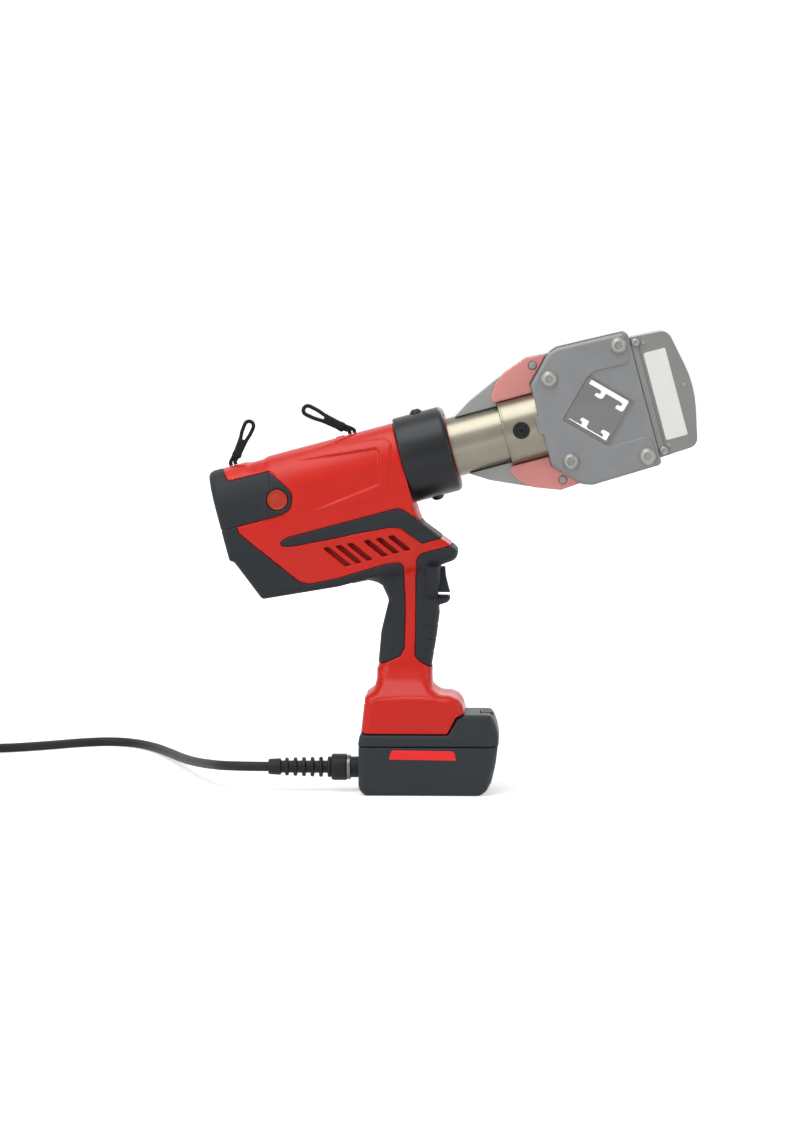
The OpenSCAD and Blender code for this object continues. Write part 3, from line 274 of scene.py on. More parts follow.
@dataclass
class Grid:
    """Block of sample points, in millimetres, on which a form's distance field is measured.

    Attributes:
        low: Lowest corner.
        high: Highest corner.
        step: Distance between neighbouring points.
        x: Places of the points along X, and y and z along the other axes.
    """

    low: Point
    high: Point
    step: float
    x: Array = field(init=False)
    y: Array = field(init=False)
    z: Array = field(init=False)

    def __post_init__(self) -> None:
        """Lay out the points of each axis for broadcasting."""
        axes = [np.arange(a, b + self.step, self.step, dtype=np.float32)
                for a, b in zip(self.low, self.high)]
        self.x, self.y, self.z = np.ix_(*axes)

    @property
    def p(self) -> Array:
        """Distance along the barrel axis."""
        return self.x * math.cos(TILT) + (self.z - AXIS_Z) * math.sin(TILT)

    @property
    def q(self) -> Array:
        """Distance above the barrel axis."""
        return (self.z - AXIS_Z) * math.cos(TILT) - self.x * math.sin(TILT)

    def upright(self, corners: Outline) -> Array:
        """Distance field of a rounded outline in the side view, along X and Z."""
        return outline_distance(self.x, self.z, rounded(corners))

    def tilted(self, corners: Outline) -> Array:
        """Distance field of a rounded outline in barrel coordinates."""
        return outline_distance(self.p, self.q, rounded(corners))

    def box(self, low: Point, high: Point) -> Array:
        """Distance field of an upright box between two corners."""
        x, y, z = (slab(v, a, b) for v, a, b in zip((self.x, self.y, self.z), low, high))
        return np.maximum(np.maximum(x, y), z)

    def half(self, side: Side, gap: float) -> Array:
        """Distance field of one half of the tool, with half the gap left at the middle."""
        return side.value * -self.y + gap / 2


CELL_CORNERS = [np.array(corner) for corner in np.ndindex(2, 2, 2)]


def cell_points(values: Array, cells: Array) -> Array:
    """Average the places where a distance field changes sign on the edges of cells.

    Args:
        values: Distances at the sample points.
        cells: Lowest corners of the crossed cells, one row each.

    Returns:
        One place in each cell, counted in sample points.
    """
    total, hits = np.zeros((len(cells), 3)), np.zeros((len(cells), 1))
    for a in CELL_CORNERS:
        for axis in np.flatnonzero(a == 0):
            b = a.copy()
            b[axis] = 1
            fa, fb = values[tuple((cells + a).T)], values[tuple((cells + b).T)]
            crossed = (fa < 0) != (fb < 0)
            t = fa[crossed] / (fa[crossed] - fb[crossed])
            total[crossed] += a + t[:, None] * (b - a)
            hits[crossed] += 1
    return cells + total / hits


def cell_quads(inside: Array, index: Array) -> Array:
    """Join the points of the four cells round each edge that the surface crosses.

    Args:
        inside: Which sample points lie inside.
        index: Number of the point in each crossed cell.

    Returns:
        Rows of four vertex numbers, facing outwards.
    """
    quads = []
    for axis in range(3):
        u, v = (axis + 1) % 3, (axis + 2) % 3
        first = np.moveaxis(inside, (axis, u, v), (0, 1, 2))[:, 1:-1, 1:-1]
        change = np.argwhere(first[:-1] != first[1:])
        filled = first[:-1][tuple(change.T)]
        loop = []
        for du, dv in ((0, 0), (1, 0), (1, 1), (0, 1)):
            cell = np.zeros_like(change)
            cell[:, axis], cell[:, u], cell[:, v] = change[:, 0], change[:, 1] + du, change[:, 2] + dv
            loop.append(index[tuple(cell.T)])
        faces = np.stack(loop, axis=1)
        faces[~filled] = faces[~filled][:, ::-1]
        quads.append(faces)
    return np.concatenate(quads)


def mesh_from_field(name: str, grid: Grid, values: Array) -> Mesh:
    """Skin the zero level of a distance field with quads, one vertex in each crossed cell.

    Args:
        name: Name of the mesh.
        grid: Sample points of the field.
        values: Distances at those points, negative inside.

    Returns:
        A closed, smooth-shaded mesh in metres.
    """
    shape = tuple(axis.size for axis in (grid.x, grid.y, grid.z))
    values = np.broadcast_to(values, shape)
    solid = np.argwhere(values < 0)
    low, high = np.maximum(solid.min(0) - 2, 0), np.minimum(solid.max(0) + 3, shape)
    values = np.array(values[tuple(map(slice, low, high))], np.float32)
    values = np.pad(values, 1, constant_values=grid.step)
    inside = values < 0
    count = np.zeros([n - 1 for n in inside.shape], np.int8)
    for corner in CELL_CORNERS:
        count += inside[tuple(map(slice, corner, corner + count.shape))]
    mixed = (count > 0) & (count < len(CELL_CORNERS))
    cells = np.argwhere(mixed)
    index = np.full(count.shape, -1, np.int64)
    index[mixed] = np.arange(len(cells))
    origin = np.array(grid.low) + (low - 1) * grid.step
    points = origin + grid.step * cell_points(values, cells)
    return mesh_from_arrays(name, points, cell_quads(inside, index))


def mesh_from_arrays(name: str, points: Array, quads: Array) -> Mesh:
    """Make a smooth-shaded mesh from millimetre points and rows of four vertex numbers.

    Args:
        name: Name of the mesh.
        points: Points, one row each.
        quads: Vertex numbers, one row for each face.

    Returns:
        The mesh.
    """
    mesh = bpy.data.meshes.new(name)
    mesh.vertices.add(len(points))
    mesh.vertices.foreach_set("co", (np.asarray(points) * MM).astype(np.float32).ravel())
    mesh.loops.add(quads.size)
    mesh.loops.foreach_set("vertex_index", quads.astype(np.int32).ravel())
    mesh.polygons.add(len(quads))
    mesh.polygons.foreach_set("loop_start", np.arange(0, quads.size, 4, dtype=np.int32))
    mesh.polygons.foreach_set("use_smooth", np.ones(len(quads), bool))
    mesh.update(calc_edges=True)
    mesh.validate()
    return mesh


def srgb(r: float, g: float, b: float) -> tuple[float, float, float, float]:
    """Turn a screen colour, 0 to 255, into linear light.

    Args:
        r: Red.
        g: Green.
        b: Blue.

    Returns:
        Linear red, green and blue, and full alpha.
    """
    parts = [c / 255 for c in (r, g, b)]
    linear = [c / 12.92 if c <= 0.04045 else ((c + 0.055) / 1.055) ** 2.4 for c in parts]
    return (linear[0], linear[1], linear[2], 1.0)


class Lay(Enum):
    """Direction that a finish's fine marks run in, as scales along X, Y and Z of the barrel's frame."""

    EVEN = (1.0, 1.0, 1.0)
    TURNED = (1.0, 0.02, 0.02)
    BRUSHED = (0.03, 1.0, 1.0)


def set_inputs(node: Node, values: dict[str, object]) -> None:
    """Set inputs of a node by their names."""
    for key, value in values.items():
        node.inputs[key].default_value = value


def add_node(tree: Tree, kind: str, values: Optional[dict[str, object]] = None,
             **settings: object) -> Node:
    """Add a node to a tree.

    Args:
        tree: The tree.
        kind: Type of the node.
        values: Values of its inputs.
        settings: Its properties.

    Returns:
        The node.
    """
    made = tree.nodes.new(kind)
    for key, value in settings.items():
        setattr(made, key, value)
    set_inputs(made, values or {})
    return made


class Effect:
    """Shader node group that several finishes share."""

    def __init__(self, name: str, inputs: dict[str, float], outputs: Sequence[str]) -> None:
        """Open a group with number inputs, a vector input and number outputs.

        Args:
            name: Name of the group.
            inputs: Number inputs with their defaults.
            outputs: Names of the outputs.
        """
        self.tree = bpy.data.node_groups.new(name, "ShaderNodeTree")
        face = self.tree.interface
        face.new_socket("Vector", in_out="INPUT", socket_type="NodeSocketVector")
        for key, value in inputs.items():
            face.new_socket(key, in_out="INPUT", socket_type="NodeSocketFloat").default_value = value
        for key in outputs:
            face.new_socket(key, in_out="OUTPUT", socket_type="NodeSocketFloat")
        self.given = self.tree.nodes.new("NodeGroupInput").outputs
        self.wanted = self.tree.nodes.new("NodeGroupOutput").inputs

    def pattern(self, kind: str, scale: str, vector: Optional[Socket] = None,
                detail: Optional[float] = None) -> Node:
        """Add a texture on the group's coordinates.

        Args:
            kind: Type of the texture node.
            scale: The group's input that sets its scale.
            vector: Coordinates in place of the group's own.
            detail: Its detail, for noise.

        Returns:
            The node.
        """
        made = add_node(self.tree, kind, {} if detail is None else {"Detail": detail})
        self.link(vector or self.given["Vector"], made.inputs["Vector"])
        self.link(self.given[scale], made.inputs["Scale"])
        return made

    def math(self, kind: str, a: object, b: object) -> Socket:
        """Add a math node on two sockets or numbers.

        Args:
            kind: The operation.
            a: First socket or number.
            b: Second socket or number.

        Returns:
            The node's output.
        """
        made = add_node(self.tree, "ShaderNodeMath", operation=kind)
        for slot, value in zip(made.inputs, (a, b)):
            if isinstance(value, Socket):
                self.link(value, slot)
            else:
                slot.default_value = value
        return made.outputs[0]

    def link(self, a: Socket, b: Socket) -> None:
        """Join an output to an input."""
        self.tree.links.new(a, b)


def grain_effect() -> Effect:
    """Build the fine texture of moulded, cast or brushed surfaces: a height and a slow mottle.

    Returns:
        The effect.
    """
    effect = Effect("surface_grain", {"Scale": 800.0, "Patch Scale": 30.0}, ("Height", "Mottle"))
    fine = effect.pattern("ShaderNodeTexNoise", "Scale", detail=3.0).outputs["Fac"]
    cells = effect.pattern("ShaderNodeTexVoronoi", "Scale").outputs["Distance"]
    patch = effect.pattern("ShaderNodeTexNoise", "Patch Scale", detail=4.0).outputs["Fac"]
    height = effect.math("ADD", fine, effect.math("MULTIPLY", cells, 0.5))
    mottle = effect.math("ADD", effect.math("MULTIPLY", patch, 0.7), effect.math("MULTIPLY", fine, 0.3))
    effect.link(height, effect.wanted["Height"])
    effect.link(mottle, effect.wanted["Mottle"])
    return effect


def wear_effect() -> Effect:
    """Build the rubbed edges: a mask where a bevelled normal leaves the face's own.

    Returns:
        The effect.
    """
    effect = Effect("edge_wear", {"Amount": 0.5, "Width": 0.001, "Break": 140.0}, ("Mask",))
    bevel = add_node(effect.tree, "ShaderNodeBevel", samples=BEVEL_SAMPLES)
    effect.link(effect.given["Width"], bevel.inputs["Radius"])
    normal = add_node(effect.tree, "ShaderNodeNewGeometry")
    dot = add_node(effect.tree, "ShaderNodeVectorMath", operation="DOT_PRODUCT")
    effect.link(bevel.outputs["Normal"], dot.inputs[0])
    effect.link(normal.outputs["Normal"], dot.inputs[1])
    edge = effect.math("MULTIPLY", effect.math("SUBTRACT", 1.0, dot.outputs["Value"]), 6.0)
    noise = effect.pattern("ShaderNodeTexNoise", "Break", detail=5.0).outputs["Fac"]
    broken = effect.math("MULTIPLY", effect.math("SUBTRACT", noise, 0.35), 2.5)
    mask = effect.math("MULTIPLY", effect.math("MULTIPLY", edge, broken), effect.given["Amount"])
    clamp = add_node(effect.tree, "ShaderNodeClamp")
    effect.link(mask, clamp.inputs["Value"])
    effect.link(clamp.outputs["Result"], effect.wanted["Mask"])
    return effect


def weave_effect() -> Effect:
    """Build a braid: the height of two crossed bands.

    Returns:
        The effect.
    """
    effect = Effect("braid", {"Scale": 300.0}, ("Height",))
    bands = []
    for angle in (0.7, -0.7):
        turn = add_node(effect.tree, "ShaderNodeVectorRotate", {"Angle": angle}, rotation_type="Y_AXIS")
        effect.link(effect.given["Vector"], turn.inputs["Vector"])
        bands.append(effect.pattern("ShaderNodeTexWave", "Scale", turn.outputs["Vector"]).outputs["Fac"])
    effect.link(effect.math("MAXIMUM", *bands), effect.wanted["Height"])
    return effect


EFFECTS = {"grain": grain_effect(), "wear": wear_effect(), "braid": weave_effect()}


@dataclass(frozen=True)
class Finish:
    """One surface finish and the values of its shader.

    Attributes:
        name: Name of the material.
        colour: Screen colour, 0 to 255.
        roughness: Middle roughness.
        metallic: 1 for bare metal.
        grain: Grain size in millimetres.
        depth: Height of the grain, in millimetres.
        mottle: Share by which the colour wanders.
        patch: Size of the colour's patches, in millimetres.
        wear: Strength of the rubbed edges.
        worn: Screen colour of rubbed edges.
        edge: Width of softened edges, in millimetres.
        coat: Weight of a clear coat.
        sheen: Specular level of the plain surface.
        lay: Direction of the marks.
        braid: Size of a braid's strands in millimetres, or 0 for none.
    """

    name: str
    colour: Colour
    roughness: float = 0.5
    metallic: float = 0.0
    grain: float = 0.8
    depth: float = 0.02
    mottle: float = 0.08
    patch: float = 30.0
    wear: float = 0.0
    worn: Colour = (200, 200, 196)
    edge: float = 0.6
    coat: float = 0.0
    sheen: float = 0.3
    lay: Lay = Lay.EVEN
    braid: float = 0.0

    def build(self) -> bpy.types.Material:
        """Make the material, or give the one made before.

        Returns:
            The material.
        """
        title = f"{self.name}_finish"
        made = bpy.data.materials.get(title)
        if made:
            return made
        made = bpy.data.materials.new(title)
        made.use_nodes = True
        made.diffuse_color = srgb(*self.colour)
        tree = made.node_tree
        shader = tree.nodes["Principled BSDF"]
        set_inputs(shader, {"Metallic": self.metallic, "Specular IOR Level": self.sheen,
                            "Coat Weight": self.coat, "Coat Roughness": COAT_ROUGHNESS})
        place = tree.nodes.new("ShaderNodeTexCoord").outputs["Object"]
        turn = add_node(tree, "ShaderNodeMapping", {"Rotation": (0, TILT, 0), "Scale": self.lay.value},
                        vector_type="POINT")
        tree.links.new(place, turn.inputs["Vector"])
        grain = self.effect(tree, "grain", turn.outputs["Vector"],
                            {"Scale": 1 / (self.grain * MM), "Patch Scale": 1 / (self.patch * MM)})
        tree.links.new(self.paint(tree, grain.outputs["Mottle"], place), shader.inputs["Base Color"])
        low, high = self.roughness - ROUGHNESS_SPREAD, self.roughness + ROUGHNESS_SPREAD
        ends = {"To Min": max(low, 0.04), "To Max": min(high, 1.0)}
        rough = add_node(tree, "ShaderNodeMapRange", ends)
        tree.links.new(grain.outputs["Mottle"], rough.inputs["Value"])
        tree.links.new(rough.outputs["Result"], shader.inputs["Roughness"])
        tree.links.new(self.relief(tree, grain.outputs["Height"], place), shader.inputs["Normal"])
        return made

    def effect(self, tree: Tree, key: str, vector: Socket, values: dict[str, float]) -> Node:
        """Place a shared effect in the material.

        Args:
            tree: The material's node tree.
            key: Which effect.
            vector: Coordinates for the effect.
            values: Its number inputs.

        Returns:
            The group's node.
        """
        group = add_node(tree, "ShaderNodeGroup", values, node_tree=EFFECTS[key].tree)
        tree.links.new(vector, group.inputs["Vector"])
        return group

    def paint(self, tree: Tree, mottle: Socket, vector: Socket) -> Socket:
        """Mix the colour with its mottle and its rubbed edges.

        Args:
            tree: The material's node tree.
            mottle: The slow wander of the surface.
            vector: Coordinates of the surface.

        Returns:
            The colour's socket.
        """
        base = srgb(*self.colour)
        ramp = tree.nodes.new("ShaderNodeValToRGB")
        tones = ((0.3, 1 - self.mottle), (0.7, 1 + self.mottle))
        for element, (position, factor) in zip(ramp.color_ramp.elements, tones):
            element.color = (*[min(c * factor, 1.0) for c in base[:3]], 1.0)
            element.position = position
        tree.links.new(mottle, ramp.inputs["Fac"])
        if self.wear == 0:
            return ramp.outputs["Color"]
        worn = self.effect(tree, "wear", vector, {"Amount": self.wear, "Width": self.edge * MM})
        mix = add_node(tree, "ShaderNodeMix", data_type="RGBA")
        tree.links.new(worn.outputs["Mask"], mix.inputs["Factor"])
        tree.links.new(ramp.outputs["Color"], mix.inputs["A"])
        set_inputs(mix, {"B": srgb(*self.worn)})
        return mix.outputs["Result"]

    def relief(self, tree: Tree, height: Socket, vector: Socket) -> Socket:
        """Bump the surface with its grain or braid, over softened edges.

        Args:
            tree: The material's node tree.
            height: The grain's height.
            vector: Coordinates of the surface.

        Returns:
            The normal's socket.
        """
        bump = add_node(tree, "ShaderNodeBump", {"Distance": self.depth * MM, "Strength": BUMP_STRENGTH})
        if self.braid:
            weave = self.effect(tree, "braid", vector, {"Scale": 0.5 / (self.braid * MM)})
            height = weave.outputs["Height"]
        tree.links.new(height, bump.inputs["Height"])
        if self.edge:
            bevel = add_node(tree, "ShaderNodeBevel", {"Radius": self.edge * MM}, samples=BEVEL_SAMPLES)
            tree.links.new(bevel.outputs["Normal"], bump.inputs["Normal"])
        return bump.outputs["Normal"]


RED = Finish("red_shell", (207, 32, 16), 0.34, grain=0.5, depth=0.008, mottle=0.04, patch=45, edge=0)
RUBBER = Finish("soft_grip", (32, 36, 40), 0.62, grain=0.7, depth=0.05, mottle=0.1, patch=25, edge=0)
SHELL_GREY = Finish("adapter_shell", (37, 43, 47), grain=0.5, depth=0.03, edge=0)
BLACK = Finish("black_plastic", (20, 22, 25), grain=0.5, mottle=0.15, wear=0.25, worn=(80, 82, 85))
COLLAR = Finish("collar_black", (19, 22, 25), 0.34, grain=0.4, depth=0.015, mottle=0.12, wear=0.2,
                worn=(85, 88, 92))
ORANGE = Finish("release_orange", (186, 54, 28), 0.42, grain=0.5, depth=0.01)
NICKEL = Finish("nickel", (133, 129, 115), 0.3, 1.0, grain=0.35, depth=0.006, lay=Lay.TURNED, wear=0.3,
                worn=(214, 210, 200), sheen=0.5)
ALLOY = Finish("grey_alloy", (135, 136, 137), 0.5, 0.35, grain=0.7, mottle=0.07, patch=20, wear=0.6,
               worn=(188, 189, 190))
GUARD = Finish("guard_alloy", (138, 139, 135), 0.5, 0.2, grain=0.9, mottle=0.07, wear=0.5)
# Lighter copy of the guard alloy for the fins: painted light that makes up for the shade they lie in
# behind the head.
FIN_PAINTED_LIGHTER = replace(GUARD, name="fin_alloy", colour=(158, 159, 157))
STEEL = Finish("steel", (128, 128, 128), 0.32, 1.0, grain=0.3, depth=0.006, mottle=0.1, lay=Lay.BRUSHED,
               wear=0.3, sheen=0.5)
ZINC = Finish("screws", (118, 118, 117), 0.36, 1.0, grain=0.3, depth=0.004, mottle=0.12, wear=0.3,
              sheen=0.5)
BRONZE = Finish("bronze", (150, 104, 52), 0.4, 1.0, grain=0.4, depth=0.01, mottle=0.12, sheen=0.5)
BOLT = Finish("bolt_steel", (158, 157, 152), 0.42, 0.6, grain=0.3, depth=0.004, mottle=0.12, wear=0.4,
              worn=(190, 189, 184))
# Dark red sheet behind the cooling slots: its colour is painted shade for the inside of the slots.
SLOT_SHADE = Finish("slot_screen", (150, 30, 24), 0.7, mottle=0.2)
BLACK_STEEL = Finish("black_steel", (34, 35, 37), 0.38, 0.5, grain=0.4, depth=0.008, mottle=0.12,
                     wear=0.5, worn=(120, 121, 123))
DIE_STEEL = Finish("die_steel", (121, 121, 120), 0.44, 0.5, grain=0.4, depth=0.01, mottle=0.12,
                   lay=Lay.BRUSHED, wear=0.5, worn=(150, 150, 150))
COVER_RED = Finish("cover_red", (229, 151, 144), wear=0.5, worn=(232, 178, 174))
PALE = Finish("pale_plate", (236, 236, 230), 0.45, grain=0.6, depth=0.004, mottle=0.03, patch=12)
STRIP = Finish("red_strip", (250, 44, 46), 0.4, grain=0.5, depth=0.004, mottle=0.04)
CORD = Finish("cord_rubber", (27, 30, 33), 0.55, grain=0.6, mottle=0.1, patch=18, edge=0)
LOOP = Finish("loop_cord", (22, 23, 26), 0.8, grain=0.5, depth=0.25, mottle=0.2, patch=3, edge=0,
              braid=0.8)
BOARD = Finish("circuit_board", (46, 92, 60), mottle=0.15)
SEAL = Finish("seal", (22, 22, 23), 0.6, grain=0.5, depth=0.01, mottle=0.1)
WIRE = Finish("wire", (150, 34, 30), grain=0.5, depth=0.01, mottle=0.1, edge=0)


def add_object(name: str, data: bpy.types.ID) -> bpy.types.Object:
    """Put a new object in the scene.

    Args:
        name: Name of the object.
        data: Its mesh, curve, camera or light.

    Returns:
        The object.
    """
    made = bpy.data.objects.new(name, data)
    bpy.context.scene.collection.objects.link(made)
    return made


def add_piece(name: str, data: bpy.types.ID, finish: Finish, body: Body, stands_for: Sequence[str] = ()) -> bpy.types.Object:
    """Add a piece to the scene on a CAD body.

    Args:
        name: Name of the piece.
        data: Its mesh or curve.
        finish: Its surface.
        body: The body it moves with.
        stands_for: CAD nodes that it replaces.

    Returns:
        The new object.
    """
    made = add_object(name, data)
    made.data.materials.append(finish.build())
    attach(made, body.value)
    if stands_for:
        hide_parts(*stands_for)
    LOG.info("%s rides on %s", name, body.value)
    return made


def dress(finish: Finish, *nodes: str) -> None:
    """Give CAD nodes a finish.

    Args:
        finish: The surface.
        nodes: Names of the nodes.
    """
    for name in nodes:
        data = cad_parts[name].data
        data.materials.clear()
        data.materials.append(finish.build())
        LOG.info("%s has %s", name, finish.name)


@dataclass
class ToolShell:
    """Red half shells with their rubber: body, handle and foot as one filleted form.

    Outlines of handle, foot and grips are in the tool's X and Z, the others in barrel coordinates.

    Attributes:
        step: Spacing of the sample points.
        space: Lowest and highest corner of the sampled space.
        body_r: Radius of the round upper body.
        front: Distance of the body's front face behind the origin, along the barrel.
        wall: Wall of the shells.
        skin: Thickness of the rubber.
        proud: Height of the rubber above the red shell.
        seam: Gap between neighbouring pieces.
        button_r: Radius of the release button.
        tube_r: Radius of the barrel's tube.
        bore_end: Inner end of the tube's bore.
        body_edge: Rounding of the body's edges, and front_edge of its front's.
        handle_edge: Rounding of the handle's edges.
        foot_edge: Rounding of the foot's edges, and under_edge under it.
        handle_fillet: Fillet between body and handle.
        foot_fillet: Fillet between handle and foot.
        body_width: Half width of the body, by the height above the barrel axis.
        handle_width: Half width of the handle, by its height.
        foot_width: Half width of the foot, by its height.
        body_outline: Side view of the body, with handle_outline and foot_outline of the other two.
        trigger_gap: Half width of the trigger's gap between the flanks of the handle.
        trigger_flanks: Those flanks.
        under_foot: What is cut away under the foot.
        cover_region: Side view of the rear cover.
        inlay_region: Side view of the side inlays.
        front_region: Side view of the front grip.
        rear_tail: Rear grip, its tail.
        rear_handle: Rear grip, its edge on the handle.
        rear_arch: Rear grip, its upper edge.
        cover_facet: Raised part of the rear cover.
        panel: Sunk panel, and panel_border round it.
        panel_fade: Where the panel and its border begin, and the run of their rise.
        foot_crease: Crease on the foot, and top_crease behind the cover.
        grooves: Heights of the finger grooves, and groove_ends their ends in X.
        dip: Ends of the dip on top.
        lug: Ends of the lug on top, and its half width.
        heights: Depth or height of panel, border, creases, facet, grooves, dip and lug.
        screen: Sheet of painted shade behind the cooling slots, and screen_levels its level and
            thickness.
        vents: Upper ends of the cooling slots.
        vent_form: Lean of the slots in degrees, their half width, lower end and inner end.
        recesses: Corners of the boxes cut for the trigger's stem and for the foot's mouth.
        grid: The sample points, and outer the form's distance field on them.
    """

    step: float
    space: Box = ((-216, -43, 49), (46, 43, 349))
    body_r: float = 37.0
    front: float = 24.0
    wall: float = 4.2
    skin: float = 2.0
    proud: float = 0.15
    seam: float = 0.3
    button_r: float = 9.5
    tube_r: float = 26.7
    bore_end: float = -40.0
    body_edge: float = 6.0
    front_edge: float = 1.2
    handle_edge: float = 11.0
    foot_edge: float = 8.0
    under_edge: float = 0.8
    handle_fillet: float = 9.0
    foot_fillet: float = 5.0
    body_width: Profile = Profile((-105, -58, -36, 0), (31, 34, 37, 37), 14)
    handle_width: Profile = Profile((84, 92, 103, 120, 150, 176, 192, 208, 224, 266),
                                    (36, 32, 22, 19, 18.5, 19.5, 22, 26.5, 31, 33), 14)
    foot_width: Profile = Profile((40, 86, 92, 103, 120), (37.6, 37.2, 33, 22, 19), 6)
    body_outline: Outline = (
        (-177, -86.4, 4), (-108, -93, 20), (-32, -93, 0), (-24, -44, 0), (8, -44, 0), (8, 37, 0),
        (-195.8, 37, 6), (-196, -45.4, 2), (-192.3, -47.8, 1.5))
    handle_outline: Outline = (
        (-44.9, 92, 0), (1.8, 92, 0), (1.8, 111, 20), (6.8, 140, 30), (9.6, 162, 8), (9, 169.6, 1.5),
        (16.4, 171.8, 3), (19, 174.2, 1.6), (19, 177.6, 1), (2, 178, 0), (2, 206, 0), (11, 206.2, 1),
        (22.4, 210.4, 3), (25.8, 214, 3), (25.8, 219.6, 4), (20, 225.4, 5), (-4.5, 243.4, 6),
        (-13.5, 256, 0), (-20, 262, 0), (-75, 235, 0), (-66, 193.5, 0), (-53.5, 195.4, 8),
        (-41.5, 187.5, 9), (-35.6, 174.5, 8), (-38.5, 163, 20), (-42.6, 146, 40), (-44.9, 120, 20))
    trigger_gap: float = 9.2
    trigger_flanks: Outline = (
        (-6, 174, 0), (7.6, 174, 0), (8.4, 181, 3), (10.4, 191, 5), (10.4, 203, 2), (12, 208, 0),
        (-6, 208, 0))
    foot_outline: Outline = (
        (-60, 40, 0), (33, 40, 0), (33, 74, 2), (31, 81.5, 5), (26.5, 87.8, 4), (20, 90.4, 6),
        (11, 91, 8), (2, 98, 8), (1.9, 112, 0), (-44.9, 112, 0), (-44.9, 104, 8), (-48.5, 95, 6),
        (-56.5, 88.6, 2.5), (-58.5, 71, 10), (-60, 57, 0))
    under_foot: Outline = (
        (-80, 55.9, 0), (-80, 30, 0), (60, 30, 0), (60, 73.4, 0), (31, 73.4, 2), (25, 70.8, 2.5),
        (17.3, 55.9, 1.5))
    cover_region: Outline = (
        (-212, -17.5, 0), (-140, -17.5, 0), (-131, -14.5, 6), (-126, -3.5, 6), (-127.9, 3.5, 4),
        (-141, 22.8, 4), (-179, 23.3, 3), (-186, 48, 0), (-212, 48, 0))
    inlay_region: Outline = (
        (-148.5, -41.5, 1.5), (-145.3, -45.7, 1.5), (-134.6, -47.6, 2), (-50, -53, 6), (-41.6, -55.4, 4),
        (-25.3, -74.7, 3), (6, -74.7, 0), (-2, -56, 0), (-16.8, -60.2, 4), (-35.4, -39.4, 3),
        (-38.9, -38.4, 2), (-140.6, -38.5, 4))
    front_region: Outline = (
        (33, 106, 0), (33, 226, 0), (17.8, 223.5, 0), (-6.5, 217, 4), (-10, 212.6, 3), (-11, 196, 0),
        (-12, 123.8, 3), (-7.6, 119.4, 4), (2.5, 113.6, 0))
    rear_tail: Outline = ((-208, -17.5), (-208, -103), (-70, -103))
    rear_handle: Outline = (
        (-60, 116), (-40, 118), (-26, 123.8), (-21.4, 131.5), (-20.7, 168), (-21.9, 206), (-25, 209.5))
    rear_arch: Outline = (
        (-61, -84), (-107, -85.4), (-132, -84), (-140.4, -79.6), (-181, -24), (-181.5, -17.5))
    cover_facet: Outline = (
        (-158.8, -20.5, 0), (-151, -1.4, 12), (-143.2, 11.1, 6), (-141.5, 26, 0), (-110, 26, 0),
        (-110, -20.5, 0))
    panel: Outline = ((-150, 29, 0), (-140, -25, 0), (-49, -13.4, 4), (-40.6, 17.8, 3))
    panel_border: Outline = (
        (-150, 40, 0), (-140, -23.3, 0), (-47.5, -23.1, 4), (-41, -19, 4), (-29.4, 19.4, 4),
        (-34, 24.5, 3), (-70, 28.5, 0), (-100, 40, 0))
    panel_fade: Sizes = (-122.0, -134.0, 40.0)
    foot_crease: Outline = ((-58, 83), (-45.8, 87), (-17.5, 89.5), (4.3, 88.3), (22, 83.5))
    top_crease: Outline = ((-200, 24.4), (-179, 23))
    grooves: Sizes = (151.5, 138.5, 127.0)
    groove_ends: Pair = (-3.5, 12.0)
    dip: Pair = (-159.0, -143.0)
    lug: Sizes = (-77.0, -69.0, 4.0)
    heights: Sizes = (2.0, 0.9, 0.5, 1.2, 0.9, 2.2, 1.2)
    screen: Outline = ((-117, -51, 3), (-46, -55.5, 3), (-30, -81, 3), (-102, -81, 3))
    screen_levels: Pair = (27.6, 0.8)
    vents: Outline = (
        (-109.5, -56), (-98.5, -57), (-88, -57.8), (-73, -58.9), (-62, -59.7), (-51, -60.5))
    vent_form: Sizes = (54.0, 2.15, -77.0, 12.0)
    recesses: tuple[Box, ...] = (
        ((-30, -8.3, 180), (4, 8.3, 204)), ((-58, -34, 40), (15, 34, 57)),
        ((-49, -22, 40), (48, 22, 68)))
    grid: Grid = field(init=False)
    outer: Array = field(init=False)

    def __post_init__(self) -> None:
        """Measure the outer form once."""
        self.grid = Grid(*self.space, self.step)
        form = join(self.body_form(), self.handle_form(), self.handle_fillet)
        form = join(form, self.foot_form(), self.foot_fillet)
        self.outer = form + self.flank_relief()

    @property
    def rear_region(self) -> Outline:
        """Outline of the rear grip: tail, underside and back of the handle.

        Returns:
            Corners in X and Z with their rounding.
        """
        tail, arch = ([barrel_point(p, q) for p, q in line] for line in (self.rear_tail, self.rear_arch))
        return (*((x, z, 0) for x, _, z in tail), *((x, z, 2) for x, z in self.rear_handle),
                *((x, z, 1) for x, _, z in arch))

    def body_form(self) -> Array:
        """Measure the barrel-shaped body, with its deep lower part.

        Returns:
            Its distance field.
        """
        g = self.grid
        upper = np.hypot(g.y, np.maximum(g.q, 0)) - self.body_r
        flank = np.where(g.q > 0, upper, np.abs(g.y) - self.body_width.at(g.q))
        body = meet(g.tilted(self.body_outline), flank, self.body_edge)
        return meet(body, g.p + self.front, self.front_edge)

    def handle_form(self) -> Array:
        """Measure the handle with its hood and finger lip.

        Returns:
            Its distance field.
        """
        g = self.grid
        flanks = np.maximum(g.upright(self.trigger_flanks), self.trigger_gap - np.abs(g.y))
        side = np.minimum(g.upright(self.handle_outline), flanks)
        return meet(side, np.abs(g.y) - self.handle_width.at(g.z), self.handle_edge)

    def foot_form(self) -> Array:
        """Measure the foot, cut to sit on the adapter.

        Returns:
            Its distance field.
        """
        g = self.grid
        flank = np.abs(g.y) - self.foot_width.at(g.z)
        block = meet(g.upright(self.foot_outline), flank, self.foot_edge)
        return meet(block, -g.upright(self.under_foot), self.under_edge)

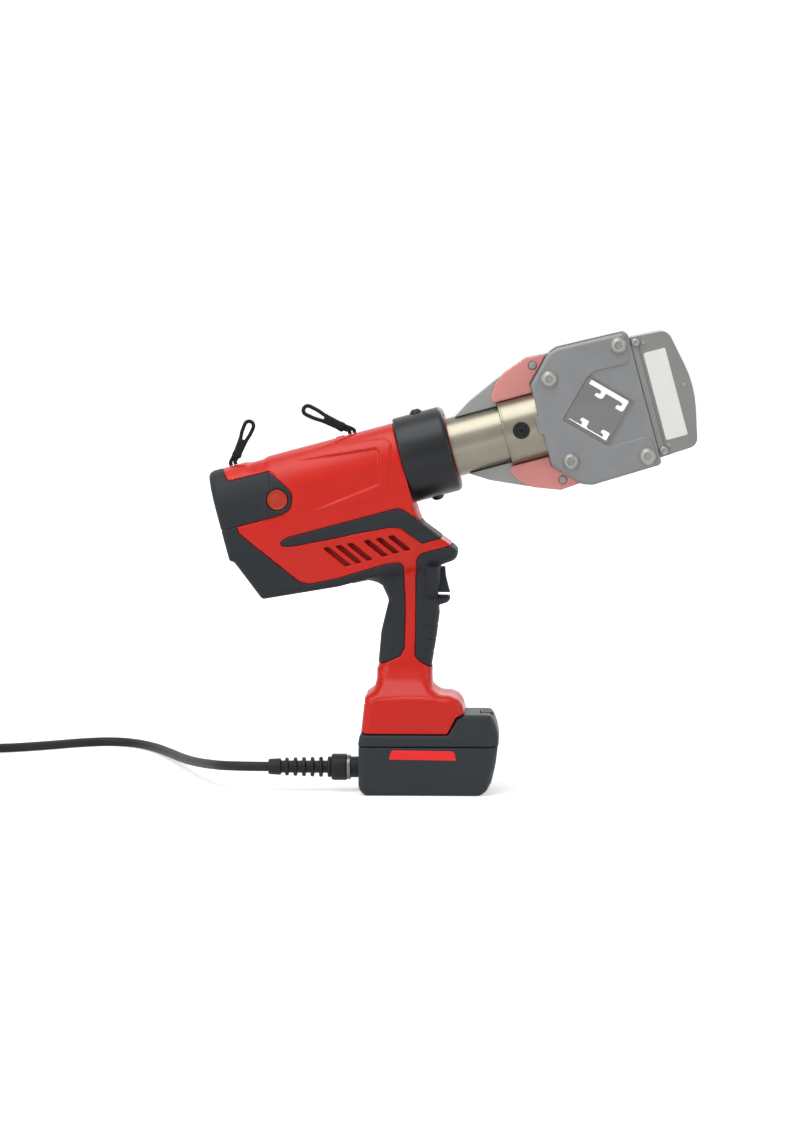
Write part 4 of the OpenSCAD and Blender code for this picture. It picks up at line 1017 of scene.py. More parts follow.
    def flank_relief(self) -> Array:
        """Measure the marks on the form: panel, creases and facet of the flanks, grooves, dip and lug.

        Returns:
            Heights to add to the form's distances, positive where a mark is sunk.
        """
        g = self.grid
        panel_h, border_h, crease_h, facet_h, groove_h, dip_h, lug_h = self.heights
        panel_start, border_start, run = self.panel_fade
        relief = (panel_h * ease(g.tilted(self.panel), 1.0) * ramp(g.p, panel_start, run)
                  - border_h * ease(g.tilted(self.panel_border), 1.6) * ramp(g.p, border_start, run))
        creases = np.minimum(path_distance(g.x, g.z, self.foot_crease),
                             path_distance(g.p, g.q, self.top_crease))
        relief = relief + crease_h * ease(creases - 0.5, 1.3)
        facet, cover = g.tilted(self.cover_facet), g.tilted(self.cover_region)
        relief = relief - facet_h * ease(facet, 1.3) * ease(cover, 0.8)
        rear, front = self.groove_ends
        grooves = np.minimum.reduce(
            [path_distance(g.x, g.z, ((rear, z + 0.6), (front, z))) for z in self.grooves])
        top = ramp(g.q, 24, 6)
        dip = ease(slab(g.p, *self.dip), 7) * top
        lug = ease(np.maximum(slab(g.p, *self.lug[:2]), np.abs(g.y) - self.lug[2]), 1.5) * top
        flank = ramp(np.abs(g.y), 16, 6)
        return relief * flank + groove_h * ease(grooves - 0.5, 1.3) + dip_h * dip - lug_h * lug

    def regions(self) -> dict[str, Array]:
        """Measure the side-view region of each rubber piece.

        Returns:
            Distance fields by the names of the pieces.
        """
        g = self.grid
        return {
            "rear_cover": g.tilted(self.cover_region),
            "rear_grip": g.upright(self.rear_region),
            "front_grip": g.upright(self.front_region),
            "side_inlays": g.tilted(self.inlay_region),
        }

    def openings(self) -> Array:
        """Measure the cooling slots, the barrel's bore, the trigger's way and the foot's mouth.

        Returns:
            Their common distance field.
        """
        g = self.grid
        angle, half, low, level = self.vent_form
        s, c = math.sin(math.radians(angle)), math.cos(math.radians(angle))
        slots = [np.maximum(np.abs((g.p - p) * s + (g.q - q) * c) - half, np.maximum(g.q - q, low - g.q))
                 for p, q in self.vents]
        slots = np.maximum(np.minimum.reduce(slots), level - np.abs(g.y))
        bore = np.maximum(np.hypot(g.y, g.q) - self.tube_r - self.seam, self.bore_end - g.p)
        return np.minimum.reduce([slots, bore, *(g.box(*corners) for corners in self.recesses)])

    def build(self) -> None:
        """Make the two red shells and the rubber pieces on them."""
        g, outer, regions = self.grid, self.outer, self.regions()
        openings = self.openings()
        p, q = BUTTON
        button_hole = np.maximum(np.hypot(g.p - p, g.q - q) - self.button_r - self.seam, g.y)
        rubber = np.minimum.reduce(list(regions.values()))
        shell = np.maximum(outer, -(outer + self.wall))
        shell = cut(shell, np.maximum(rubber - self.seam / 2, -(outer + self.skin)))
        shell = cut(cut(shell, openings), button_hole)
        for side in Side:
            name = f"housing_{side.label}"
            half = np.maximum(shell, g.half(side, self.seam))
            mesh = mesh_from_field(name, g, half)
            add_piece(f"{name}_shell", mesh, RED, Body.BODY, (name,))
            # Dark red sheet behind this half's slots: painted shade for the inside of the cooling slots.
            back, thick = (side.value * level for level in self.screen_levels)
            screen = sheet_mesh(f"slot_screen_{name}", self.screen, back, back + thick, barrel_point)
            add_piece(f"slot_screen_{side.label}", screen, SLOT_SHADE, Body.BODY)
        skin = np.maximum(outer - self.proud, -(outer + self.skin - 0.1))
        for name, region in regions.items():
            patch = cut(cut(np.maximum(skin, region + self.seam / 2), openings), button_hole)
            forms = {f"{name}_{side.label}": np.maximum(patch, g.half(side, self.seam)) for side in Side}
            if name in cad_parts:
                forms = {name: patch}
            for node, form in forms.items():
                mesh = mesh_from_field(node, g, form)
                add_piece(f"{node}_skin", mesh, RUBBER, Body.BODY, (node,))


@dataclass
class AdapterShell:
    """Mains adapter: a hollow base and a stepped cover that meet at a parting line.

    Attributes:
        step: Spacing of the sample points.
        space: Lowest and highest corner of the sampled space.
        half_l: Half length.
        half_w: Half width.
        wall: Wall of both shells.
        parting: Height of the parting line.
        seam: Gap at the parting line.
        corner_r: Rounding of the upright edges, base_r of the base's others, top_r of the cover's.
        front_cut: Start of the front corners' cut, its slope along and across, and that slope's length.
        rear_cut: Distance of the rear corners' cut.
        neck: Radius of the cord's hole, its height and its inner end.
        lean: Half width of the cover, by its height.
        rail: Corners of the rail that the foot slides on.
        latch_hole: Corners of the latch's hole.
        base_outline: Side view of the base.
        top_outline: Side view of the cover.
    """

    step: float
    space: Box = ((-68, -42, -3), (68, 42, 78))
    half_l: float = 64.0
    half_w: float = 38.0
    wall: float = 2.6
    parting: float = 44.0
    seam: float = 0.36
    corner_r: float = 2.5
    base_r: float = 5.0
    top_r: float = 3.0
    front_cut: Sizes = (52.0, 10.0, 12.0, 15.6)
    rear_cut: float = 59.0
    neck: Sizes = (9.6, 22.0, -50.0)
    lean: Profile = Profile((30, 52, 73), (38, 38, 34), 4)
    rail: Box = ((-45, -18, 45), (8, 18, 62))
    latch_hole: Box = ((46.7, -14.3, 57), (57.3, 14.3, 90))
    base_outline: Outline = (
        (-56, 0, 3), (46, 0, 4), (52.4, 4.2, 6), (56.8, 12, 8), (60.6, 27.4, 20), (64, 44, 0),
        (66, 56, 0), (-64, 56, 0), (-63.8, 44, 0), (-63.8, 9.5, 5), (-62, 4.6, 4))
    top_outline: Outline = (
        (-63, 30, 0), (62, 30, 0), (64, 44, 0), (64, 53, 6), (61.8, 60.5, 6), (58.8, 68.8, 4),
        (55.5, 72.9, 3), (31.6, 72.9, 1.5), (25.5, 70.2, 2), (17.8, 55.3, 0.5), (-61, 55.3, 3),
        (-63.8, 44, 0))

    def build(self) -> None:
        """Make the base and the cover."""
        g = Grid(*self.space, self.step)
        flank = np.abs(g.y) - self.half_w
        start, run, rise, slope = self.front_cut
        plan = np.maximum(np.abs(g.x) - self.half_l, flank)
        plan = meet(plan, ((g.x - start) * run + flank * rise) / slope, self.corner_r)
        plan = meet(plan, (flank - g.x - self.rear_cut) * math.sqrt(0.5), self.corner_r)
        neck_r, neck_z, neck_end = self.neck
        base = np.maximum(meet(g.upright(self.base_outline), plan, self.base_r), -g.z)
        base = cut(np.maximum(base, -(base + self.wall)),
                   np.maximum(np.hypot(g.y, g.z - neck_z) - neck_r, g.x - neck_end))
        base = np.maximum(base, g.z - self.parting + self.seam / 2)
        plan = np.maximum(plan, np.abs(g.y) - self.lean.at(g.z))
        top = meet(g.upright(self.top_outline), plan, self.top_r)
        top = np.minimum(np.maximum(top, -(top + self.wall)), g.box(*self.rail))
        top = cut(np.maximum(top, self.parting + self.seam / 2 - g.z), g.box(*self.latch_hole))
        for node, form in (("adapter_base", base), ("adapter_cover", top)):
            add_piece(f"{node}_shell", mesh_from_field(node, g, form), SHELL_GREY, Body.ADAPTER, (node,))


def smooth_route(points: Sequence[Point], parts: int) -> list[Point]:
    """Run a smooth curve through the points of a route.

    Args:
        points: Points of the route.
        parts: Pieces that each stretch is divided into.

    Returns:
        The points of the curve, from the first to the last.
    """
    route = np.array([points[0], *points, points[-1]], float)
    made: list[Point] = []
    for a, b, c, d in zip(route, route[1:], route[2:], route[3:]):
        for t in np.arange(parts) / parts:
            made.append(tuple(0.5 * (2 * b + (c - a) * t + (2 * a - 5 * b + 4 * c - d) * t ** 2
                                     + (3 * b - a - 3 * c + d) * t ** 3)))
    return [*made, tuple(route[-1])]


def cord_curve(name: str, route: Sequence[Point], radius: float) -> bpy.types.Curve:
    """Make a round cord along a route.

    Args:
        name: Name of the curve.
        route: Points in millimetres.
        radius: Radius of the cord in millimetres.

    Returns:
        A curve of one open spline.
    """
    curve = bpy.data.curves.new(name, "CURVE")
    curve.dimensions = "3D"
    curve.bevel_depth = radius * MM
    curve.bevel_resolution = 4
    curve.use_fill_caps = True
    line = curve.splines.new("POLY")
    line.points.add(len(route) - 1)
    for spot, place in zip(line.points, route):
        spot.co = (*(Vector(place) * MM), 1.0)
    line.use_smooth = True
    return curve


def band_faces(rows: int, sides: int, closed: bool = True) -> list[Sequence[int]]:
    """Join rows of points, each one ring, with quads.

    Args:
        rows: Number of rows.
        sides: Points in each row.
        closed: Whether the last row joins the first.

    Returns:
        Vertex numbers of the faces.
    """
    starts = [(i * sides, (i + 1) % rows * sides) for i in range(rows if closed else rows - 1)]
    return [(a + k, a + (k + 1) % sides, b + (k + 1) % sides, b + k)
            for a, b in starts for k in range(sides)]


def ring_angles(sides: int) -> Array:
    """Divide a full turn into equal steps."""
    return np.arange(sides) * math.tau / sides


def lathe(name: str, outline: Sequence[Corner], place: Place, sides: int = 72) -> Mesh:
    """Turn a closed outline about an axis.

    Args:
        name: Name of the mesh.
        outline: Corners as place along the axis, radius and rounding.
        place: Gives the point for a place along the axis and two offsets across it.
        sides: Number of sides.

    Returns:
        The mesh.
    """
    ring = rounded(outline)
    points = [place(a, r * math.cos(t), r * math.sin(t)) for a, r in ring for t in ring_angles(sides)]
    return solid_mesh(name, points, band_faces(len(ring), sides))


def finish_mesh(name: str, work: bmesh.types.BMesh, sharp: float) -> Mesh:
    """Turn a work mesh into a smooth mesh.

    Args:
        name: Name of the mesh.
        work: The work mesh, which is freed.
        sharp: Angle in degrees over which edges stay sharp.

    Returns:
        The mesh.
    """
    mesh = bpy.data.meshes.new(name)
    work.to_mesh(mesh)
    work.free()
    mesh.shade_smooth()
    mesh.set_sharp_from_angle(angle=math.radians(sharp))
    return mesh


def joined(name: str, parts: Sequence[Mesh]) -> Mesh:
    """Put several meshes, which are removed, together in one.

    Args:
        name: Name of the new mesh.
        parts: The meshes.

    Returns:
        The new mesh.
    """
    work = bmesh.new()
    for part in parts:
        work.from_mesh(part)
        bpy.data.meshes.remove(part)
    return finish_mesh(name, work, SHARP_EDGE)


def solid_mesh(name: str, points: Sequence[Point], faces: Sequence[Sequence[int]],
               sharp: float = SHARP_EDGE) -> Mesh:
    """Make a clean mesh from points and faces.

    Args:
        name: Name of the mesh.
        points: Points in millimetres.
        faces: Vertex numbers of the faces.
        sharp: Angle in degrees over which edges stay sharp.

    Returns:
        The mesh.
    """
    work = bmesh.new()
    spots = [work.verts.new(Vector(p) * MM) for p in points]
    for face in faces:
        work.faces.new([spots[k] for k in face])
    bmesh.ops.remove_doubles(work, verts=work.verts, dist=1e-6)
    bmesh.ops.recalc_face_normals(work, faces=work.faces)
    return finish_mesh(name, work, sharp)


def sheet_mesh(name: str, outline: Sequence[Corner], back: float, front: float, place: Place) -> Mesh:
    """Make a flat plate with a small bevel round its front edge.

    Args:
        name: Name of the mesh.
        outline: Corners of the plate with their rounding.
        back: Level of the back face.
        front: Level of the front face.
        place: Gives the point for two places in the plate and a level.

    Returns:
        The mesh.
    """
    ring = rounded(outline)
    middle = ring.mean(axis=0)
    bevel = min(0.4 * abs(front - back), 0.3)
    inner = middle + (ring - middle) * (1 - 2 * bevel / np.ptp(ring, axis=0))
    count = len(ring)
    rows = [(ring, back), (ring, front + math.copysign(bevel, back - front)), (inner, front)]
    points = [place(u, v, level) for row, level in rows for u, v in row]
    caps = [tuple(range(count)), tuple(range(2 * count, 3 * count))]
    return solid_mesh(name, points, caps + band_faces(len(rows), count, closed=False), 25)


@dataclass
class MainsCord:
    """Mains cord: the lead from the adapter, its coil, the tie and the plug.

    Attributes:
        radius: Radius of the cord.
        coil_centre: Middle of the coil.
        coil_radius: Radius of the outer turns.
        pitch: Spacing of turns and layers.
        turns: Number of turns.
        run: Turns in one layer.
        lift: Height of the lowest turns' middle.
        plug: Place of the plug's rear end.
        outlet_z: Height of the cord's outlet.
        tie_section: Outline of the tie, as heights above the cord and places along it.
        lead: Way of the cord from the adapter to the coil.
        tail: Its way from the coil to the plug.
        plug_outline: Outline of the plug, as places along it, radius and rounding.
        pin_outline: Outline of its pins, and pin_shift their distance from the middle.
        nut: Outline of the connector, and ring that of its pale ring.
        relief_ends: Outline of the strain relief at the cord and at the connector.
        ribs: Number of ribs, place of the first and their pitch.
        rib_r: Radius of the largest rib, the step to the next and the radius between ribs.
    """

    radius: float = 4.4
    coil_centre: Pair = (-492.0, 218.0)
    coil_radius: float = 58.0
    pitch: float = 9.4
    turns: int = 8
    run: int = 2
    lift: float = 6.0
    plug: Point = (-568.0, 190.0, 15.0)
    outlet_z: float = 22.0
    tie_section: Outline = ((0.15, -6.0), (1.35, -6.0), (1.35, 6.0), (0.15, 6.0))
    lead: tuple[Point, ...] = (
        (-145, 0, 22), (-153.8, 0, 22), (-172, 2, 22), (-188, 15, 21), (-200, 40, 19), (-212, 76, 16),
        (-226, 126, 12.2), (-241, 186, 8.4), (-257, 246, 5.8), (-276, 300, 4.6), (-298, 336, 4.4),
        (-324, 350, 4.4), (-352, 340, 4.4), (-382, 316, 4.4), (-414, 294, 4.5), (-448, 280, 5),
        (-474, 276.4, 5.8), (-483.2, 276, 6))
    tail: tuple[Point, ...] = (
        (-500.8, 276, 34.2), (-520, 274, 33), (-540, 265, 29), (-556, 250, 23.5), (-565, 230, 18),
        (-568, 208, 15.2), (-568, 200, 15), (-568, 190, 15))
    plug_outline: Outline = (
        (0, 0, 0), (0, 6.4, 1), (12, 7.2, 3), (14, 8.6, 1), (17, 8.6, 1), (19, 7.6, 1), (28, 12.6, 6),
        (33, 14.3, 3), (44, 14.3, 1.2), (44, 0, 0))
    pin_outline: Outline = ((43, 0, 0), (43, 2.4, 0), (63, 2.4, 1.6), (63, 0, 0))
    pin_shift: float = 9.5
    nut: Outline = (
        (-88, 0, 0), (-88, 12, 2.2), (-74.2, 12, 0.8), (-74.2, 10.4, 0), (-70.4, 10.4, 0),
        (-70.4, 9.5, 0), (-58, 9.5, 0), (-58, 0, 0))
    ring: Outline = ((-74, 10.2, 0), (-74, 11.2, 0.5), (-70.6, 11.2, 0.5), (-70.6, 10.2, 0))
    relief_ends: tuple[Outline, Outline] = (
        ((-145, 0, 0), (-145, 7, 1), (-134, 7.6, 1), (-133, 5.6, 0.5)), ((-88, 5.6, 0), (-88, 0, 0)))
    ribs: tuple[int, float, float] = (6, -130.0, 7.7)
    rib_r: Sizes = (9.4, 0.25, 5.6)

    def climb(self, t: float) -> float:
        """Find the layer at a turn, with a short rise where one layer meets the next.

        Args:
            t: Turns from the coil's start.

        Returns:
            The layer, counted from 0.
        """
        layer = math.floor(t / self.run + 0.5)
        past = t - layer * self.run
        if layer < 1 or layer >= self.turns / self.run:
            return math.floor(t / self.run)
        return layer - 0.5 + max(min(2 * past, 0.5), -0.5)

    def coil(self, steps: int) -> list[Point]:
        """Work out the turns of the coil.

        Args:
            steps: Points in a turn.

        Returns:
            The points, from the lead to the tail.
        """
        made: list[Point] = []
        middle_x, middle_y = self.coil_centre
        for k in range(self.turns * steps + 1):
            r, z = self.section(k / steps)
            a = math.radians(90 + 360 * k / steps)
            made.append((middle_x + r * math.cos(a), middle_y + r * math.sin(a), z))
        return made

    def section(self, t: float) -> Pair:
        """Find radius and height of the cord's middle at a turn.

        Args:
            t: Turns from the coil's start.

        Returns:
            Radius and height.
        """
        spot = t % (2 * self.run)
        inward = spot if spot <= self.run else 2 * self.run - spot
        level = min(self.climb(t), self.turns / self.run - 1)
        return self.coil_radius - self.pitch * inward, self.lift + self.pitch * level

    def build(self) -> None:
        """Make the cord, its plug and the adapter's cord outlet."""
        coil = self.coil(36)
        lead = smooth_route([*self.lead, coil[0]], 5)
        tail = smooth_route([coil[-1], *self.tail], 5)
        route = [*lead[:-1], *coil[:-1], *tail]
        cord = add_piece("mains_cord", cord_curve("mains_cord", route, self.radius), CORD, Body.ADAPTER,
                         ("cord_lead", "cord_coil"))
        plug = self.build_plug()
        tie = self.build_tie()
        self.build_outlet()

    def build_tie(self) -> bpy.types.Object:
        """Make the strap that lies close round the turns at one place of the coil.

        Returns:
            The piece.
        """
        spots = [self.section(k + 0.75) for k in range(self.turns)]
        middle_x, middle_y = self.coil_centre
        sides = 72
        points: list[Point] = []
        for out, y in self.tie_section:
            for a in ring_angles(sides):
                u, v = math.cos(a), math.sin(a)
                r, z = max(spots, key=lambda spot: spot[0] * u + spot[1] * v)
                reach = self.radius + out
                points.append((middle_x + r + reach * u, middle_y + y, z + reach * v))
        mesh = solid_mesh("coil_strap", points, band_faces(len(self.tie_section), sides), 40)
        return add_piece("coil_strap", mesh, BLACK, Body.ADAPTER, ("coil_tie",))

    def build_plug(self) -> list[bpy.types.Object]:
        """Make the moulded plug and its two pins.

        Returns:
            The pieces.
        """
        x, y, z = self.plug

        def beside(shift: float) -> Place:
            """Give the placing about an axis that lies beside the plug's middle."""
            return lambda a, u, v: (x + (u + shift), y - a, z + v)

        body = lathe("plug_body", self.plug_outline, beside(0.0))
        made = [add_piece("plug_body", body, BLACK, Body.ADAPTER, ("mains_plug",))]
        for side in Side:
            pin = lathe("plug_pin", self.pin_outline, beside(self.pin_shift * side.value), 24)
            made.append(add_piece(f"plug_pin_{side.label}", pin, NICKEL, Body.ADAPTER, ()))
        return made

    def build_outlet(self) -> None:
        """Make the connector on the adapter, its pale ring and the ribbed strain relief."""
        def along(a: float, u: float, v: float) -> Point:
            """Place a point of the outlet."""
            return (a, u, self.outlet_z + v)

        count, first, pitch = self.ribs
        top, step, root = self.rib_r
        start, end = self.relief_ends
        relief = [*start]
        for k in range(count):
            x, r = first + pitch * k, top - step * (count - 1 - k)
            relief += [(x, root, 0.5), (x + 0.2, r, 1), (x + 3.3, r, 1), (x + 3.5, root, 0.5)]
        for name, outline, finish, nodes, slot in (
                ("connector_nut", self.nut, BLACK, ("cord_connector",), "black_plastic"),
                ("connector_ring", self.ring, ZINC, (), None),
                ("ribbed_relief", [*relief, *end], BLACK, ("strain_relief",), "black_plastic")):
            add_piece(name, lathe(name, outline, along), finish, Body.ADAPTER, nodes)


@dataclass
class StrapLoop:
    """Braided cord loop on top of the tool, in barrel coordinates.

    Attributes:
        name: Name of the CAD node.
        foot: Middle of the loop's foot.
        tip: Its far end.
        radius: Radius of the cord.
        eye: Radius of the eye at the tip.
        opening: Share of the length from which the strands part, and over which they do.
        gap: Gap between the strands.
        sunk: Length of the strands' ends below the foot.
        shares: Shares of the length at which the strands are laid.
        sleeve: Outline of the sleeve, as shares of the length and heights above the cord.
        base: The foot as an array.
        along: Direction of the strands, and across the one square to it.
        run: Length of the strands up to the eye's middle.
    """

    name: str
    foot: Pair
    tip: Pair
    radius: float = 1.7
    eye: float = 4.08
    opening: float = 0.45
    gap: float = 0.4
    sunk: float = 1.8
    shares: Sizes = (0.24, 0.38, 0.52, 0.66, 0.8, 0.92)
    sleeve: Outline = (
        (0.17, 0.1), (0.17, 0.4), (0.2, 0.7), (0.25, 0.7), (0.28, 0.4), (0.36, 0.35), (0.44, 0.35),
        (0.52, 0.35), (0.58, 0.35), (0.62, 0.3), (0.63, 0.1))
    base: Array = field(init=False)
    along: Array = field(init=False)
    across: Array = field(init=False)
    run: float = field(init=False)

    def __post_init__(self) -> None:
        """Work out how the strands lie."""
        self.base = np.array(self.foot)
        reach = np.array(self.tip) - self.base
        self.along = reach / np.linalg.norm(reach)
        self.across = np.array((-self.along[1], self.along[0]))
        self.run = np.linalg.norm(reach) - self.eye

    def half(self, t: float) -> float:
        """Find half the distance between the strands at a share of their length.

        Args:
            t: The share.

        Returns:
            The half distance.
        """
        side = self.radius + self.gap / 2
        past = min(1, max(0, (t - self.opening) / self.opening))
        return side + (self.eye - side) * (1 - math.cos(math.pi * past)) / 2

    def at(self, t: float, shift: float) -> Array:
        """Return the point at a share of the length, shifted across the strands."""
        return self.base + self.along * self.run * t + self.across * shift

    def route(self) -> list[Point]:
        """Lay the loop: up one strand, round the eye and back.

        Returns:
            The points of the route.
        """
        side, rise = self.radius + 0.4, 1.5
        points = [self.base + (-side, -self.sunk), self.base + (-side, rise)]
        points += [self.at(t, self.half(t)) for t in self.shares]
        for a in np.radians(np.arange(90, -91, -30)):
            reach = self.run + self.eye * math.cos(a)
            points.append(self.base + self.along * reach + self.across * self.eye * math.sin(a))
        points += [self.at(t, -self.half(t)) for t in reversed(self.shares)]
        points += [self.base + (side, rise), self.base + (side, -self.sunk)]
        return [barrel_point(p, q) for p, q in points]

    def build(self) -> None:
        """Make the loop and the sleeve that holds its strands together."""
        route = smooth_route(self.route(), 6)
        curve = cord_curve(self.name, route, self.radius)
        loop = add_piece(f"{self.name}_cord", curve, LOOP, Body.BODY, (self.name,))
        add_piece(f"{self.name}_wrap", self.wrap(), LOOP, Body.BODY)

    def wrap(self) -> Mesh:
        """Make the sleeve round the two strands.

        Returns:
            The mesh.
        """
        sides = 32
        points: list[Point] = []
        for t, out in self.sleeve:
            r, side = self.radius + out, self.half(t)
            for a in ring_angles(sides):
                p, q = self.at(t, math.copysign(side, math.cos(a)) + r * math.cos(a))
                points.append(barrel_point(p, q, r * math.sin(a)))
        return solid_mesh(f"{self.name}_wrap", points, band_faces(len(self.sleeve), sides), 40)


@dataclass(frozen=True)
class Screw:
    """Round-headed socket screw that lies across the tool.

    Attributes:
        head_r: Radius of the head.
        head_h: Height of the head.
        shank_r: Radius of the shank.
        shank: Length of the shank.
    """

    head_r: float
    head_h: float
    shank_r: float
    shank: float

    def build(self, name: str, p: float, q: float, seat: float) -> Mesh:
        """Turn the screw.

        Args:
            name: Name of the mesh.
            p: Its place along the barrel axis.
            q: Its place above that axis.
            seat: The level under its head.

        Returns:
            The mesh.
        """
        def across(a: float, u: float, v: float) -> Point:
            """Place a point about the screw's axis."""
            return barrel_point(p + u, q + v, -seat - a)

        r, h, socket = self.head_r, self.head_h, 0.42 * self.head_r
        shank = ((-self.shank, 0, 0), (-self.shank, self.shank_r, 0.4), (0, self.shank_r, 0))
        head = ((0, r, 0.3), (0.3 * h, r, 0.3 * h), (h, 0.66 * r, 0.5 * h), (h, socket + 0.3, 0.2),
                (h - 0.4, socket, 0), (0.35 * h, socket, 0), (0.35 * h, 0, 0))
        return lathe(name, shank + head, across, 36)


@dataclass
class ShearHead:
    """Barrel and shear head: the CAD solids with their finishes, and the shaped pieces that show.

    Attributes:
        step: Spacing of the sample points.
        guard_face: Level of the guard's near face.
        plate_face: Level of the near plate's outer face.
        plate_back: Level of its inner face.
        plate_tab: Ends of the tab behind the plate, its half height and its depth under the face.
        plate_bevel: Front end of the plate's bevel, its width, slope and that slope's length.
        collar_r: Radius of the swivel collar.
        die_p: Place of the die along the barrel.
        die_half: Half size of the square die.
        die_levels: Levels of the die's near and far faces, and blade_levels those of the blade.
        bolts: Places of the bolts, above the barrel axis.
        bolt_hole: Radius of their holes.
        plate: Outline of the plates.
        fin: Outline of the fins behind the head, and fin_half their half thickness.
        fin_hollow: Radius of the fins' hollow at the tube and at the fork, and where the fork begins.
        cover: Outline of their red side covers, and cover_levels the covers' levels.
        cover_hollow: Radius of the covers' hollow.
        cover_pin: Place and radius of the covers' pins, and the level of their ends.
        fork_rim: Outline of the fork's rear rim, as places along the barrel, radius and rounding.
        wide_slot: Outline of the die's slot for the wide rail, along and across the die.
        thin_slot: Outline of its slot for the thin rail.
        pocket: Outline of the pocket in the near plate, and pocket_depth its depth.
        label: Outline of the bare plate on the guard, and flange that of the guard's rear flange.
        flange_h: Height of the flange.
        flange_screws: Place of the flange's screws.
        guard_screws: Places of the guard's small screws.
        collar_ring: Outline of the red ring in the collar.
    """

    step: float
    guard_face: float = 32.6
    plate_face: float = 38.0
    plate_back: float = 31.6
    plate_tab: Sizes = (100.5, 111.0, 8.5, 0.8)
    plate_bevel: Sizes = (194.0, 2.6, 1.6, 1.9)
    collar_r: float = 38.8
    die_p: float = 156.0
    die_half: float = 22.5
    die_levels: Pair = (-37.4, -22.0)
    blade_levels: Pair = (-21.7, -8.0)
    bolts: Outline = ((121.5, 37.8), (188.4, 50.8))
    bolt_hole: float = 4.1
    plate: Outline = (
        (104, -37, 4), (126, -60, 8), (135, -63, 8), (199, -61, 4), (199, 61, 4), (135, 63, 8),
        (126, 60, 8), (104, 37, 4))
    fin: Outline = (
        (28, 24.5, 0), (112.3, 24.5, 0), (112.3, 45.9, 0), (125.5, 60, 0), (106, 61.4, 2), (75, 49, 20),
        (47, 36.5, 20))
    fin_half: float = 9.0
    fin_hollow: Sizes = (27.1, 31.4, 70.7)
    cover: Outline = (
        (66.3, 34, 1.5), (68.4, 29.4, 1), (103.7, 28.4, 0), (103.7, 38, 0), (125, 59.9, 0),
        (105.5, 61, 2), (82.5, 52.5, 4), (73, 44.5, 4))
    cover_levels: Pair = (9.1, 12.0)
    cover_hollow: float = 31.45
    cover_pin: Sizes = (110.3, 52.8, 3.6, 12.8)
    fork_rim: Outline = (
        (70.35, 28, 0), (70.35, 30.9, 0.3), (70.9, 31.35, 0.3), (72.3, 31.35, 0.3), (72.8, 30.8, 0),
        (72.8, 28, 0))
    wide_slot: Outline = (
        (-18.6, 21, 0.8), (20.9, 21, 2.2), (20.9, 8.9, 2.4), (12.2, 8.9, 1.8), (12.2, 13.2, 1.4),
        (16, 13.4, 0.9), (16, 16, 0.6), (-0.4, 16, 0.8), (-0.6, 9.4, 3.2), (-9.4, 9.4, 1.9),
        (-9.2, 13.1, 1.5), (-5.4, 13.6, 1), (-5.4, 16.2, 1), (-18.6, 16.2, 0.8))
    thin_slot: Outline = (
        (-18.2, -18.5, 0.3), (-6.2, -18.4, 0.8), (-6.2, -16.2, 0.8), (-9.3, -15.9, 1.4),
        (-9.3, -12, 1.8), (-0.8, -12, 1.6), (-0.6, -18.4, 0.5), (15.5, -18.4, 0.8), (15.5, -16.4, 0.8),
        (12, -16, 1.4), (12, -12.2, 1.8), (20.5, -12.2, 1.8), (20.8, -20.1, 0.8), (-18.2, -20.1, 0.3))
    pocket: Outline = (
        (157, 32.4, 0), (162.5, 34.6, 3), (193, 33.4, 6), (196, 40, 2), (196, 57, 1.5), (204, 57, 0),
        (204, -57, 0), (196, -57, 1.5), (196, -40, 2), (193, -33.6, 6), (162.5, -34.6, 3),
        (157, -32.4, 0), (189.2, 0, 0))
    pocket_depth: float = 1.5
    label: Outline = ((208, -41.5, 1.5), (228, -41.5, 1.5), (228, 38.5, 1.5), (208, 38.5, 1.5))
    flange: Outline = ((199.3, -54, 0.5), (204.8, -53.5, 1.5), (204.8, 53.5, 1.5), (199.3, 54, 0.5))
    flange_h: float = 2.2
    flange_screws: Pair = (203.6, 49.5)
    guard_screws: Outline = ((210.5, 47.5), (209.5, -46.5), (236.0, 2.0))
    collar_ring: Outline = ((20.8, 27.3, 0), (20.8, 29.6, 0), (22.2, 29.6, 0.5), (22.2, 27.3, 0.4))

    def build(self) -> None:
        """Dress the solids and add the shaped pieces."""
        dress(NICKEL, "cylinder_tube", "fork_head")
        dress(BLACK_STEEL, "jaw_pin")
        dress(ALLOY, "head_frame", "head_plate_left")
        dress(GUARD, "nose_guard")
        dress(STEEL, "blade_carrier")
        self.build_plate()
        self.build_tail()
        self.build_die("fixed_die_plate", self.die_levels, DIE_STEEL, Body.BARREL, "fixed_die")
        self.build_die("moving_blade_plate", self.blade_levels, BLACK_STEEL, Body.BLADE, "moving_blade")
        self.build_bolts()
        self.build_guard_trim()
        self.build_collar()

    def add_form(self, name: str, grid: Grid, form: Array, finish: Finish, node: str) -> None:
        """Add a piece that is measured in the barrel's own frame.

        Args:
            name: Name of the piece.
            grid: Sample points, along, across and above the barrel axis.
            form: Its distance field.
            finish: Its surface.
            node: The CAD node that it replaces.
        """
        mesh = mesh_from_field(node, grid, form)
        mesh.transform(BARREL_FRAME)
        add_piece(name, mesh, finish, Body.BARREL, (node,))

